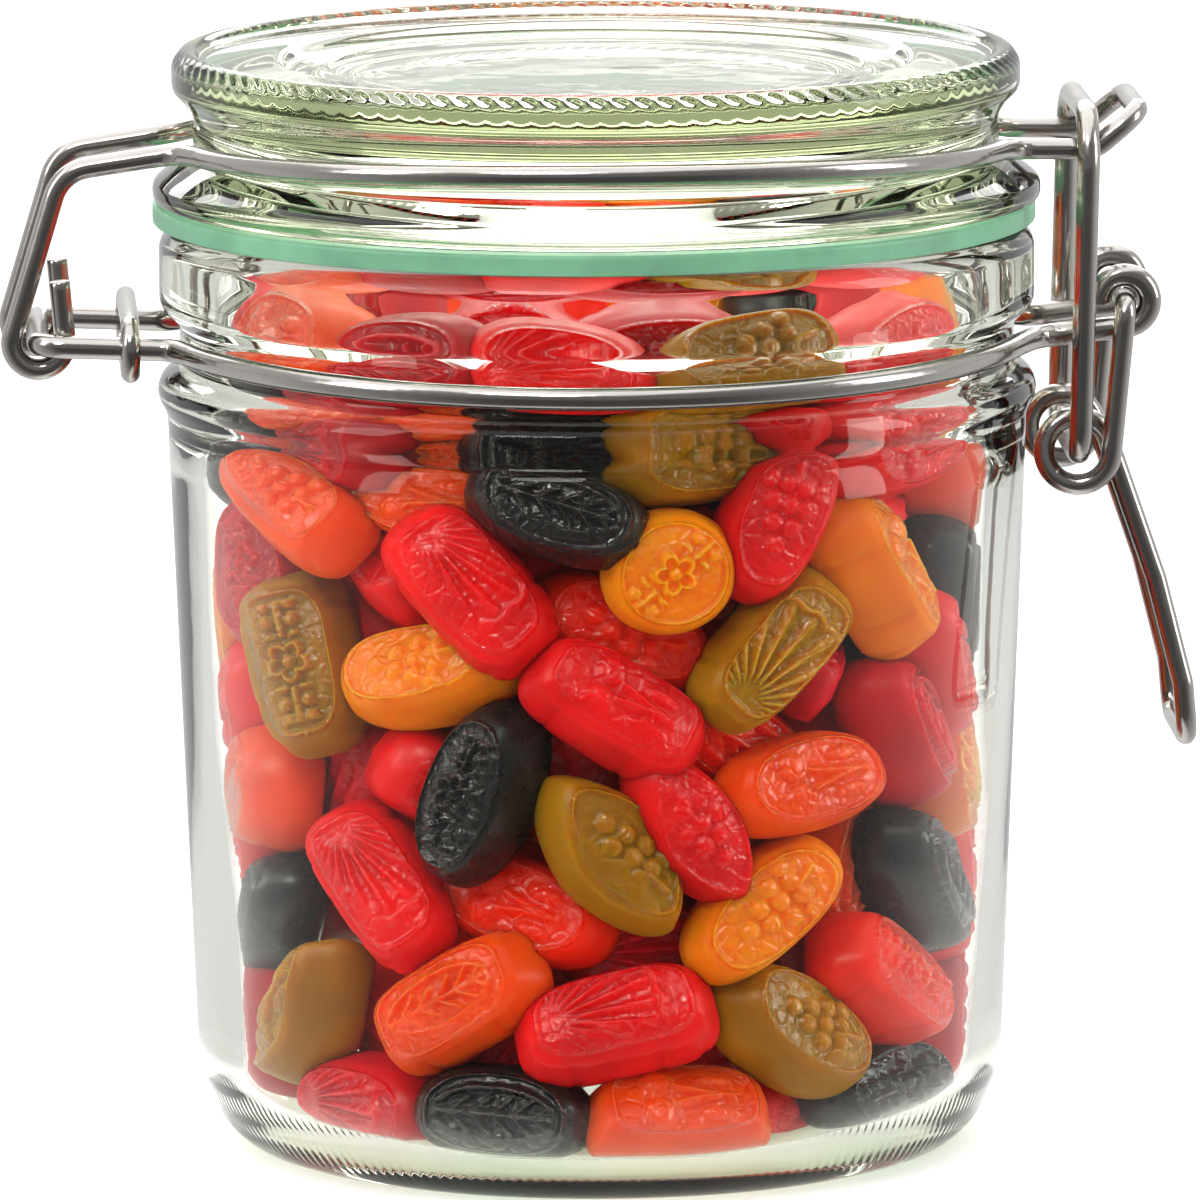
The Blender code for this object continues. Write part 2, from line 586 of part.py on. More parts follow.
def make_gums(jelly):
    """The heap as one solid: a smaller core with every gum that shows at its outside fused on."""
    centre, axis, outward = rest_heap()
    draw = np.random.default_rng(HEAP_SEED + 1)
    heap = bpy.data.collections.new("heap")
    bpy.context.scene.collection.children.link(heap)
    for i in range(GUM_COUNT):
        outline = FRONT_GUMS[i][5] if i < len(FRONT_GUMS) else ("oval", "bar", "lozenge")[i % 3]
        length, width, depth = np.array([GUM_LENGTH, GUM_WIDTH, GUM_DEPTH]) * draw.uniform(0.94, 1.05)
        if outline == "round":
            length = width = ROUND_SHARE * GUM_LENGTH
        spread = math.hypot(centre[i][0], centre[i][1])
        buried = spread < inside_radius(centre[i][2]) - BURIED_DEPTH
        if buried and BASE_THICKNESS + BURIED_DEPTH < centre[i][2] < HEAP_TOP - BURIED_DEPTH:
            continue
        mesh = gum_mesh(outline, length, width, depth)
        frame = np.stack([axis[i], np.cross(outward[i], axis[i]), outward[i]], axis=1)
        for corner in mesh.verts:
            spot = centre[i] + frame @ np.array(corner.co)
            spot[2] = min(max(spot[2], BASE_THICKNESS + GAP), HEAP_TOP)
            reach = math.hypot(spot[0], spot[1])
            room = inside_radius(spot[2]) - 2.0 * GAP
            if reach > room:
                spot[:2] *= room / reach
            corner.co = spot * MM
        data = bpy.data.meshes.new("gum")
        mesh.to_mesh(data)
        mesh.free()
        heap.objects.link(bpy.data.objects.new("gum", data))
    core_low = BASE_THICKNESS + 5.0
    core_high = HEAP_TOP - 12.0
    profile = [
        (0.0, core_high),
        (MOUTH_RADIUS - CORE_INSET - 2.0, core_high),
        (body_radius(SHOULDER_LOW) - WALL - CORE_INSET, SHOULDER_LOW - 8.0),
        (BODY_LOW_RADIUS - WALL - CORE_INSET, core_low + 8.0),
        (BODY_LOW_RADIUS - WALL - CORE_INSET - 5.0, core_low),
        (0.0, core_low),
    ]
    core = turned("wine_gums", profile, jelly)
    core.modifiers["turn"].steps = CORE_STEPS
    core.modifiers["turn"].render_steps = CORE_STEPS
    fuse = core.modifiers.new("fuse", "BOOLEAN")
    fuse.operation = "UNION"
    fuse.operand_type = "COLLECTION"
    fuse.collection = heap
    fuse.solver = HEAP_SOLVER
    fused = bpy.data.meshes.new_from_object(core.evaluated_get(bpy.context.evaluated_depsgraph_get()))
    for gum in list(heap.objects):
        bpy.data.objects.remove(gum)
    bpy.data.collections.remove(heap)
    bpy.data.objects.remove(core)
    keep_largest_shell(fused)
    fused.name = "wine_gums"
    fused.materials.clear()
    fused.materials.append(jelly)
    thing = bpy.data.objects.new("wine_gums", fused)
    parts.objects.link(thing)
    smooth(thing, 60.0)
    return thing


def keep_largest_shell(data):
    """Drop the loose scraps and the sealed hollows that fusing leaves beside the main shell."""
    mesh = bmesh.new()
    mesh.from_mesh(data)
    bmesh.ops.triangulate(mesh, faces=mesh.faces)
    left = set(mesh.verts)
    shells = []
    while left:
        shell = set()
        queue = [left.pop()]
        while queue:
            corner = queue.pop()
            shell.add(corner)
            for edge in corner.link_edges:
                far = edge.other_vert(corner)
                if far in left:
                    left.remove(far)
                    queue.append(far)
        shells.append(shell)
    shells.sort(key=len)
    scraps = [corner for shell in shells[:-1] for corner in shell]
    bmesh.ops.delete(mesh, geom=scraps, context="VERTS")
    mesh.to_mesh(data)
    mesh.free()


clear_scene()
clear_glass = finish("clear_glass", (0.86, 0.95, 0.90), 0.03, transmission=1.0)
mint_rubber = finish("mint_rubber", (0.36, 0.66, 0.50), 0.45)
spring_steel = finish("spring_steel", (0.62, 0.60, 0.57), 0.22, metallic=1.0)
fruit_jelly = finish("fruit_jelly", (0.75, 0.09, 0.06), 0.35)

make_jar(clear_glass)
make_lid(clear_glass)
make_gasket(mint_rubber)
make_neck_wire(spring_steel)
make_lid_wire(spring_steel)
make_clip(spring_steel)
make_bail(spring_steel)
make_lever(spring_steel)
make_gums(fruit_jelly)
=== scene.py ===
"""A half litre swing-top jar of wine gums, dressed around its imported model. Sizes are in millimetres."""
import math

import bmesh
import bpy
import numpy as np
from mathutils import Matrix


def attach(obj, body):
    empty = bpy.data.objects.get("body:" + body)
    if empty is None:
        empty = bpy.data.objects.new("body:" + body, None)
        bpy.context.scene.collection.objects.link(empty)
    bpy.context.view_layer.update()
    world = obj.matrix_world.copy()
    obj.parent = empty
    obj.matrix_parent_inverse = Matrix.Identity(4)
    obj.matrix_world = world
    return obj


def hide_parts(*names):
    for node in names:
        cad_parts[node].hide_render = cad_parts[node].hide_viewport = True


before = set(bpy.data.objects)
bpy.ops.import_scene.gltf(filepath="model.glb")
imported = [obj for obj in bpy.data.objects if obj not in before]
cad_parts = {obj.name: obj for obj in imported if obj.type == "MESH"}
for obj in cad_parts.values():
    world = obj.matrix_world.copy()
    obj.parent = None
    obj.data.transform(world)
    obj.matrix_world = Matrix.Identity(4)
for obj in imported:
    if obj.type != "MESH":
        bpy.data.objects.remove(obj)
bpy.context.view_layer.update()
MM = 0.001


# ---- Camera -------------------------------------------------------------------------------------
# It looks slightly down at the jar from a metre and a half away through a long lens, turned a little
# to the hinge's side, so the rear wires show beside the front ones.
CAMERA_DISTANCE = 1.5
CAMERA_HEIGHT = 0.295
CAMERA_AIM = 0.059
CAMERA_TURN = math.radians(-3.0)
CAMERA_ROLL = math.radians(0.25)
CAMERA_LENS = 419.0
CAMERA_SHIFT = 11.5 / 1200.0

camera = bpy.data.objects.new("camera", bpy.data.cameras.new("camera"))
bpy.context.scene.collection.objects.link(camera)
eye = np.array([math.sin(CAMERA_TURN), -math.cos(CAMERA_TURN), 0.0]) * CAMERA_DISTANCE
camera.location = (eye[0], eye[1], CAMERA_HEIGHT)
drop = math.atan2(CAMERA_HEIGHT - CAMERA_AIM, CAMERA_DISTANCE)
camera.rotation_euler = (math.pi / 2.0 - drop, CAMERA_ROLL, CAMERA_TURN)
camera.rotation_mode = "XYZ"
camera.data.lens = CAMERA_LENS
camera.data.shift_x = CAMERA_SHIFT
camera.data.clip_start = 0.05
camera.data.clip_end = 20.0
bpy.context.scene.camera = camera


# ---- Jar ----------------------------------------------------------------------------------------
# Pressed clear glass with a faint green cast that shows where it is thick. The mould leaves soft
# waves inside the wall, a ring under the neck wire and a stippled band round the heel.
GLASS_IOR = 1.52
GLASS_CAST = (0.64, 0.70, 0.42)       # what the glass passes of white light
GLASS_DEPTH = 27.0                    # how strongly it takes the rest, per metre
LAMP_PASS = (0.90, 0.96, 0.92)        # what each surface passes of a lamp's light
BODY_LOW_RADIUS = 43.9
BODY_HIGH_RADIUS = 46.6
WALL = 3.5
HEEL_WIDTH = 7.6
HEEL_HEIGHT = 12.7
BASE_THICKNESS = 3.4
FOOT_RECESS = 0.9
SHOULDER_RADIUS = 47.6
SHOULDER_LOW = 80.6
SHOULDER_HIGH = 84.4
NECK_GROOVE_RADIUS = 45.2
COLLAR_RADIUS = 47.4
COLLAR_LOW = 91.2
COLLAR_HIGH = 98.8
MOUTH_RADIUS = 41.5
MOUTH_HEIGHT = 100.5
STIPPLES = 212                        # round the heel, at STIPPLE_HEIGHT
STIPPLE_HEIGHT = 3.0
STIPPLE_DEPTH = 0.16
FIVE_WAVES = 0.10                     # heights of the two waves that run round inside the wall
ELEVEN_WAVES = 0.07
INSIDE_BEND = 6.0                     # how far below the shoulder the wall's inside starts to turn in


def rounded(corners, size, steps=6):
    """A path with its inner corners rounded: each becomes a parabola from a point `size` before the
    corner to a point `size` after it, with the corner as its control point."""
    points = np.array(corners, float)
    legs = np.diff(points, axis=0)
    length = np.linalg.norm(legs, axis=1, keepdims=True)
    reach = legs * np.minimum(size / length, 0.48)
    before = (points[1:] - reach)[:-1, None]
    after = (points[:-1] + reach)[1:, None]
    t = np.linspace(0.0, 1.0, steps)[None, :, None]
    bends = (1 - t) ** 2 * before + 2 * t * (1 - t) * points[1:-1, None] + t ** 2 * after
    return np.concatenate([points[:1], bends.reshape(-1, points.shape[1]), points[-1:]])


def evenly(path, step):
    """The same path with points added so that no stretch is longer than about `step`."""
    run = np.concatenate([[0.0], np.cumsum(np.linalg.norm(np.diff(path, axis=0), axis=1))])
    marks = np.union1d(run, np.arange(0.0, run[-1], step))
    keep = np.concatenate([[True], np.diff(marks) > 0.02 * step])
    return np.stack([np.interp(marks[keep], run, side) for side in path.T], axis=1)


def braced(path, near, step):
    """The same path with points added `near` both ends of every long stretch, and between those no
    farther apart than `step`, so that a bend's shading doesn't spread along the straight beside it."""
    points = [path[0]]
    for start, end in zip(path, path[1:]):
        length = np.linalg.norm(end - start)
        if length > 2.5 * near:
            inner = np.linspace(near, length - near, 2 + int((length - 2.0 * near) / step))
            points.extend(start + (end - start) * (inner / length)[:, None])
        points.append(end)
    return np.array(points)


def placed(mesh, material, merge):
    """The object of a mesh, whose points nearer each other than `merge` are merged and whose faces are
    smooth and turned outwards."""
    work = bmesh.new()
    work.from_mesh(mesh)
    bmesh.ops.remove_doubles(work, verts=work.verts, dist=merge)
    bmesh.ops.recalc_face_normals(work, faces=work.faces)
    work.to_mesh(mesh)
    work.free()
    mesh.shade_smooth()
    mesh.materials.append(material)
    piece = bpy.data.objects.new(mesh.name, mesh)
    bpy.context.scene.collection.objects.link(piece)
    return piece


def mesh_piece(name, points, faces, material, run=None):
    """A mesh object from an array of points in millimetres and an array of quads, its edges smooth up
    to 50 degrees. `run` gives the faces' corners a UV map of that name."""
    mesh = bpy.data.meshes.new(name)
    mesh.from_pydata((points * MM).tolist(), [], faces.tolist())
    if run is not None:
        mesh.uv_layers.new(name="run").data.foreach_set("uv", run.astype(np.float32).ravel())
    piece = placed(mesh, material, 1e-7)
    mesh.set_sharp_from_angle(angle=math.radians(50.0))
    return piece


def grid_quads(rows, columns, wrap_rows=False):
    """Quads over a grid whose columns wrap round, and whose rows do too where asked."""
    row = np.arange(rows if wrap_rows else rows - 1)[:, None]
    column = np.arange(columns)[None, :]
    next_row = (row + 1) % rows
    next_column = (column + 1) % columns
    corners = [row * columns + column, row * columns + next_column,
               next_row * columns + next_column, next_row * columns + column]
    return np.stack([np.broadcast_to(c, (len(row), columns)) for c in corners], axis=-1).reshape(-1, 4)


def turned(name, profile, around, material, relief=None, ring=False):
    """A turned piece: point (s, a) lies at the profile's radius r(s) and height z(s), at the angle a
    round the Z axis, moved out along the radius by relief(r, z, a)."""
    angle = np.linspace(0.0, 2.0 * np.pi, around, endpoint=False)[None, :]
    radius, height = profile[:, :1], profile[:, 1:]
    if relief is not None:
        radius = radius + relief(radius, height, angle)
    points = np.stack(np.broadcast_arrays(radius * np.cos(angle), radius * np.sin(angle), height), axis=-1)
    return mesh_piece(name, points.reshape(-1, 3), grid_quads(len(profile), around, ring), material)


def tune(node, *places, **sockets):
    """Fill a node's sockets, by their order or by name with _ for each space: each with a value, or
    with a link from (node, output)."""
    for socket, value in [*enumerate(places), *sockets.items()]:
        target = node.inputs[socket if isinstance(socket, int) else socket.replace("_", " ")]
        if isinstance(value, tuple) and isinstance(value[0], bpy.types.Node):
            node.id_data.links.new(value[0].outputs[value[1]], target)
        else:
            target.default_value = value


def builder(tree):
    """A short way to add a node to a tree: a name in small letters sets a property, one that starts
    with a capital fills a socket."""
    def add(kind, *places, **values):
        node = tree.nodes.new("ShaderNode" + kind)
        for name in [name for name in values if name[0].islower()]:
            setattr(node, name, values.pop(name))
        tune(node, *places, **values)
        return node
    return add


def new_material(name):
    """A new material, its Principled shader, its output, and the way to add nodes."""
    material = bpy.data.materials.new(name)
    material.use_nodes = True
    nodes = material.node_tree.nodes
    return material, nodes["Principled BSDF"], nodes["Material Output"], builder(material.node_tree)


def set_shades(ramp, colour, shares, places=(0.0, 1.0)):
    """Make a colour ramp's two ends a darker and a lighter share of one colour, at two places."""
    for end, share, place in zip(ramp.color_ramp.elements, shares, places):
        end.color = (*[min(1.0, share * part) for part in colour], 1.0)
        end.position = place


def glass_material():
    """Clear glass: sharp refraction with a green absorption inside, and a clear pass for lamps, so
    that what is in the jar is lit through it."""
    material, shader, out, add = new_material("clear_glass")
    place = add("TexCoord")
    waves = add("TexNoise", Vector=(place, "Object"), Scale=90.0, Detail=2.0, Roughness=0.4)
    bump = add("Bump", Height=(waves, "Fac"), Strength=0.05, Distance=0.0006)
    tune(shader, Base_Color=(1.0, 1.0, 1.0, 1.0), Roughness=0.0, IOR=GLASS_IOR, Transmission_Weight=1.0,
         Specular_Tint=(0.35, 0.35, 0.35, 1.0), Normal=(bump, "Normal"))
    path = add("LightPath")
    clear = add("BsdfTransparent", Color=(*LAMP_PASS, 1.0))
    surface = add("MixShader", (path, "Is Shadow Ray"), (shader, "BSDF"), (clear, "BSDF"))
    depth = add("VolumeAbsorption", Density=GLASS_DEPTH, Color=(*GLASS_CAST, 1.0))
    tune(out, Surface=(surface, "Shader"), Volume=(depth, "Volume"))
    return material


def body_radius(height):
    """Outer radius of the body: a straight taper."""
    share = (height - HEEL_HEIGHT) / (SHOULDER_LOW - HEEL_HEIGHT)
    return BODY_LOW_RADIUS + (BODY_HIGH_RADIUS - BODY_LOW_RADIUS) * share


def inside_radius(height):
    """Radius of the jar's inside: a quarter circle at the base, the body's taper less the wall, then
    an S curve in to the neck."""
    height = np.asarray(height, float)
    round_top = BASE_THICKNESS + HEEL_WIDTH
    bend_low = SHOULDER_LOW - INSIDE_BEND
    share = np.clip((round_top - height) / HEEL_WIDTH, 0.0, 1.0)
    low = body_radius(round_top) - WALL - HEEL_WIDTH * (1.0 - np.sqrt(1.0 - share ** 2))
    middle = body_radius(height) - WALL
    share = np.clip((height - bend_low) / (SHOULDER_HIGH - bend_low), 0.0, 1.0)
    ease = share ** 2 * (3.0 - 2.0 * share)
    top = body_radius(bend_low) - WALL + (MOUTH_RADIUS - body_radius(bend_low) + WALL) * ease
    return np.where(height < round_top, low, np.where(height < bend_low, middle, top))


def jar_relief(radius, height, angle):
    """Moulding marks: soft standing waves inside the wall, and stipples round the heel."""
    inside = (radius < inside_radius(height) + 0.3) & (height > BASE_THICKNESS + 3.0)
    waves = FIVE_WAVES * (np.sin(5.0 * angle + 0.05 * height) - 1.0)
    waves = waves + ELEVEN_WAVES * (np.sin(11.0 * angle - 0.09 * height + 1.0) - 1.0)
    heel = np.exp(-((height - STIPPLE_HEIGHT) / 0.9) ** 2) * (radius > 36.0)
    stipple = -STIPPLE_DEPTH * heel * (0.5 + 0.5 * np.cos(STIPPLES * angle + 1.6 * height))
    return np.where(inside, waves, 0.0) + stipple


quarter = np.linspace(0.0, np.pi / 2.0, 9)
heel_turn = np.linspace(0.0, np.pi / 2.0, 17)
heel_curve = np.stack([BODY_LOW_RADIUS - HEEL_WIDTH + HEEL_WIDTH * np.cos(heel_turn),
                       HEEL_HEIGHT - HEEL_HEIGHT * np.sin(heel_turn)], axis=1)
foot_radius = heel_curve[-1, 0]
inner_heights = np.concatenate([
    BASE_THICKNESS + HEEL_WIDTH * (1.0 - np.cos(quarter)),
    np.linspace(SHOULDER_LOW - INSIDE_BEND, SHOULDER_HIGH, 6),
    [MOUTH_HEIGHT - 0.6],
])
inner_curve = np.stack([inside_radius(inner_heights), inner_heights], axis=1)
outer_corners = [
    (MOUTH_RADIUS + 0.6, MOUTH_HEIGHT),
    (COLLAR_RADIUS - 1.4, MOUTH_HEIGHT),
    (COLLAR_RADIUS, COLLAR_HIGH),
    (COLLAR_RADIUS, COLLAR_LOW + 0.9),
    (COLLAR_RADIUS - 0.9, COLLAR_LOW),
    (NECK_GROOVE_RADIUS, COLLAR_LOW - 1.2),
    (NECK_GROOVE_RADIUS, SHOULDER_HIGH + 1.0),
    (SHOULDER_RADIUS - 0.6, SHOULDER_HIGH),
    (SHOULDER_RADIUS, SHOULDER_HIGH - 1.2),
    (SHOULDER_RADIUS, SHOULDER_LOW + 1.4),
    (BODY_HIGH_RADIUS, SHOULDER_LOW - 0.4),
    (BODY_HIGH_RADIUS - 0.1, SHOULDER_LOW - 3.0),
]
foot_corners = [
    tuple(heel_curve[-2]),
    (foot_radius - 1.5, 0.0),
    (foot_radius - 3.0, 0.0),
    (foot_radius - 6.0, FOOT_RECESS),
    (0.0, FOOT_RECESS),
]
jar_profile = np.concatenate([
    [(0.0, BASE_THICKNESS)],
    inner_curve,
    rounded(outer_corners, 0.8, steps=4),
    heel_curve[:-2],
    rounded(foot_corners, 1.2, steps=4),
])
clear_glass = glass_material()
jar = turned("jar_glass_clear", braced(jar_profile, 1.0, 14.0), 4 * STIPPLES, clear_glass, jar_relief)
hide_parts("jar_glass")
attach(jar, "jar")


# ---- Lid ----------------------------------------------------------------------------------------
# A heavy pressed glass lid: a recessed middle, a raised rim with a rope of beads on its outer edge,
# a groove for the wire, and a flange that presses on the gasket. A ring below it enters the mouth.
LID_SEAT = 103.3
FLANGE_RADIUS = 48.1
FLANGE_HEIGHT = 2.4
LID_GROOVE_RADIUS = 43.6
LID_GROOVE_LOW = 108.2
LID_GROOVE_HIGH = 112.6
RIM_RADIUS = 45.9
RIM_LOW = 115.3
LID_TOP = 119.6
RIM_INNER_RADIUS = 43.4
PLATEAU_RADIUS = 34.2
PLATEAU_HEIGHT = 118.5
CENTRE_HEIGHT = 117.3
PLUG_RADIUS = 40.6
PLUG_DEPTH = 1.9
DOME_RADIUS = 31.0
LID_THICKNESS = 5.0
BEADS = 118                           # round the rim, each BEAD_DEPTH deep
BEAD_DEPTH = 0.42
BEAD_SLANT = 3.15 / 1.3               # radians that a bead turns for each millimetre of height
CENTRE_RING_RADIUS = 29.2             # a low ring round the lid's recessed middle
CENTRE_RING_HEIGHT = 0.22


def lid_relief(radius, height, angle):
    """Beads on the rim's outer top edge, each a slanted ridge, and faint waves in the flange."""
    band = np.exp(-((height - (LID_TOP - 0.75)) / 0.62) ** 2) * (radius > RIM_RADIUS - 2.0)
    slant = BEAD_SLANT * (height - LID_TOP)
    ridge = np.abs(np.cos(0.5 * BEADS * angle + slant))
    flange = np.exp(-((height - (LID_SEAT + 1.3)) / 1.2) ** 2) * (radius > FLANGE_RADIUS - 1.0)
    return -BEAD_DEPTH * band * ridge ** 0.8 - 0.05 * flange * (1.0 + np.sin(7.0 * angle))


lid_corners = [
    (0.0, CENTRE_HEIGHT),
    (CENTRE_RING_RADIUS - 1.2, CENTRE_HEIGHT),
    (CENTRE_RING_RADIUS, CENTRE_HEIGHT + CENTRE_RING_HEIGHT),
    (CENTRE_RING_RADIUS + 1.2, CENTRE_HEIGHT),
    (PLATEAU_RADIUS - 1.2, CENTRE_HEIGHT),
    (PLATEAU_RADIUS, PLATEAU_HEIGHT),
    (RIM_INNER_RADIUS - 0.6, PLATEAU_HEIGHT + 0.1),
    (RIM_INNER_RADIUS, LID_TOP),
    (RIM_RADIUS - 1.0, LID_TOP),
    (RIM_RADIUS, LID_TOP - 1.3),
    (RIM_RADIUS, RIM_LOW),
    (LID_GROOVE_RADIUS + 1.2, RIM_LOW - 1.0),
    (LID_GROOVE_RADIUS, LID_GROOVE_HIGH),
    (LID_GROOVE_RADIUS, LID_GROOVE_LOW),
    (FLANGE_RADIUS - 0.6, LID_SEAT + FLANGE_HEIGHT),
    (FLANGE_RADIUS, LID_SEAT + FLANGE_HEIGHT - 0.6),
    (FLANGE_RADIUS, LID_SEAT + 0.5),
    (FLANGE_RADIUS - 0.5, LID_SEAT),
    (PLUG_RADIUS, LID_SEAT),
    (PLUG_RADIUS - 0.4, LID_SEAT - PLUG_DEPTH),
    (DOME_RADIUS, LID_SEAT - PLUG_DEPTH),
    (DOME_RADIUS - 1.5, CENTRE_HEIGHT - LID_THICKNESS - 2.0),
    (DOME_RADIUS - 4.5, CENTRE_HEIGHT - LID_THICKNESS),
    (0.0, CENTRE_HEIGHT - LID_THICKNESS),
]
lid_profile = braced(rounded(lid_corners, 0.7, steps=4), 0.8, 9.0)
lid = turned("lid_glass_clear", lid_profile, 6 * BEADS, clear_glass, lid_relief)
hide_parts("lid_glass")
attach(lid, "jar")


# ---- Gasket -------------------------------------------------------------------------------------
# A flat ring of mint green rubber between lid and jar, squeezed a little out towards the hinge.
GASKET_RADIUS = 47.9
GASKET_HOLE_RADIUS = 42.3
GASKET_LOW = 100.8
GASKET_HIGH = 103.0
GASKET_OFFSET = -0.25
RUBBER_COLOUR = (0.140, 0.335, 0.200)


def rubber_material():
    """Satin rubber: a soft mottle in the green, a little light scattered inside, fine grain."""
    material, shader, out, add = new_material("mint_rubber")
    place = add("TexCoord")
    mottle = add("TexNoise", Vector=(place, "Object"), Scale=140.0, Detail=4.0)
    colour = add("ValToRGB", Fac=(mottle, "Fac"))
    set_shades(colour, RUBBER_COLOUR, (0.86, 1.16), (0.3, 0.7))
    grain = add("TexNoise", Vector=(place, "Object"), Scale=2600.0, Detail=2.0)
    bump = add("Bump", Height=(grain, "Fac"), Strength=0.12, Distance=0.0002)
    tune(shader, Base_Color=(colour, "Color"), Roughness=0.42, Subsurface_Weight=0.35,
         Subsurface_Radius=(0.5, 1.0, 0.8), Subsurface_Scale=0.0012, Normal=(bump, "Normal"))
    return material


def gasket_relief(radius, height, angle):
    """The edge bulges unevenly where it is squeezed, by less than the room around it."""
    return (radius > GASKET_RADIUS - 1.0) * 0.10 * (np.sin(3.0 * angle) + np.sin(8.0 * angle + 2.0) - 2.0)


gasket_corners = [
    (GASKET_HOLE_RADIUS + 1.0, GASKET_HIGH),
    (GASKET_RADIUS, GASKET_HIGH),
    (GASKET_RADIUS, GASKET_LOW),
    (GASKET_HOLE_RADIUS, GASKET_LOW),
    (GASKET_HOLE_RADIUS, GASKET_HIGH),
    (GASKET_HOLE_RADIUS + 1.0, GASKET_HIGH),
]
gasket = turned("gasket_rubber", evenly(rounded(gasket_corners, 0.45), 1.0)[:-1], 220,
                rubber_material(), gasket_relief, ring=True)
offset = np.array([v.co for v in gasket.data.vertices]) + np.array([GASKET_OFFSET * MM, 0.0, 0.0])
gasket.data.vertices.foreach_set("co", offset.ravel())
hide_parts("gasket")
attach(gasket, "jar")


# ---- Wires --------------------------------------------------------------------------------------
# Bright drawn stainless wire, cold bent. The neck wire grips the jar, ends in two eyes and makes the
# hinge bar; the lid wire hooks round that bar, grips the lid and makes a tongue on the other side.
GAP = 0.3
NECK_WIRE = 2.5
LID_WIRE = 2.3
CLIP_WIRE = 2.1
NECK_RING_FRONT_HEIGHT = 87.7
NECK_RING_SIDE_HEIGHT = 88.5
LID_RING_FRONT_HEIGHT = 111.1
LID_RING_SIDE_HEIGHT = 109.4
HINGE_BAR = (-60.6, 89.2)
HINGE_HALF_WIDTH = 12.0
LID_LEG_HALF_WIDTH = 9.3
LID_LEG_TOP = 107.7
HOOK_RADIUS = 2.9
HOOK_PIN = (2.3, 6.7)                 # x and z from the hinge bar to the lid wire's free end
CLIP_X = -50.8
TONGUE_HALF_WIDTH = 9.6
TONGUE_HEIGHT = 109.0
EYE_HALF_WIDTH = 8.3
EYE_RADIUS = 2.8
LEVER_PIVOT = (56.6, 92.3)
BAIL_PIVOT = (51.4, 76.2)
BAIL_TOP = (52.4, 113.0)
STEEL_COLOUR = (0.47, 0.445, 0.42)
WIRE_SIDES = 20
WORN_EDGE = 0.18                      # round a wire's cut end
LEAVE = 6.0                           # the width over which a ring turns into a run


def steel_material():
    """Drawn stainless wire: metal whose tone and bump run in fine streaks along the wire's own length,
    read from its UV map, where u is millimetres along and v is round, and which is smudged in places."""
    material, shader, out, add = new_material("spring_steel")
    run = add("UVMap", uv_map="run")
    stretch = add("Mapping", Vector=(run, "UV"), Scale=(0.12, 26.0, 1.0))
    streaks = add("TexNoise", Vector=(stretch, "Vector"), Scale=1.0, Detail=5.0, Roughness=0.6)
    tone = add("ValToRGB", Fac=(streaks, "Fac"))
    set_shades(tone, STEEL_COLOUR, (0.78, 1.12))
    bump = add("Bump", Height=(streaks, "Fac"), Strength=0.10, Distance=0.0001)
    place = add("TexCoord")
    smudge = add("TexNoise", Vector=(place, "Object"), Scale=160.0, Detail=3.0)
    rough = add("MapRange", Value=(smudge, "Fac"), To_Min=0.12, To_Max=0.26)
    tune(shader, Base_Color=(tone, "Color"), Metallic=1.0, Roughness=(rough, "Result"),
         Normal=(bump, "Normal"))
    return material


def bent(corners, radius, steps=8):
    """A route with its inner corners bent round arcs of one radius, each in its corner's own plane:
    the arc's centre lies on the corner's bisector, and its ends where the straight runs touch it."""
    points = [np.array(corners[0], float)]
    for before, corner, after in zip(corners, corners[1:], corners[2:]):
        before, corner, after = (np.array(p, float) for p in (before, corner, after))
        back, ahead = before - corner, after - corner
        short = 0.45 * min(np.linalg.norm(back), np.linalg.norm(ahead))
        back, ahead = back / np.linalg.norm(back), ahead / np.linalg.norm(ahead)
        half = 0.5 * math.acos(np.clip(back @ ahead, -1.0, 1.0))
        reach = min(radius / math.tan(half), short)
        size = reach * math.tan(half)
        bisector = (back + ahead) / np.linalg.norm(back + ahead)
        side = (ahead - back) / np.linalg.norm(ahead - back)
        centre = corner + bisector * size / math.sin(half)
        turn = np.linspace(half - np.pi / 2.0, np.pi / 2.0 - half, steps)[:, None]
        points.extend(centre + size * (np.sin(turn) * side - np.cos(turn) * bisector))
    points.append(np.array(corners[-1], float))
    return np.array(points)


def half_ring(radius, side_height, front_height, left_y, right_y, steps=60):
    """Front half of a ring wire from its left leaving point to its right one; its height goes from
    side_height to front_height with the square of the sine of the angle."""
    start = np.pi + math.asin(left_y / radius)
    end = 2.0 * np.pi - math.asin(right_y / radius)
    turn = np.linspace(start, end, steps)
    height = side_height + (front_height - side_height) * np.sin(turn) ** 2
    return np.stack([radius * np.cos(turn), radius * np.sin(turn), height], axis=1)


def circle_run(centre, radius, start, end, y_start, y_end, steps):
    """Points round a circle in an XZ plane, angles in degrees, drifting along Y."""
    share = np.linspace(0.0, 1.0, steps)
    turn = np.radians(start + (end - start) * share)
    return np.stack([centre[0] + radius * np.cos(turn), y_start + (y_end - y_start) * share,
                     centre[1] + radius * np.sin(turn)], axis=1)


def mirrored(front):
    """The whole of a wire from its front half, whose last point is the one nearest the plane y = 0."""
    return np.concatenate([front, front[::-1] * np.array([1.0, -1.0, 1.0])])


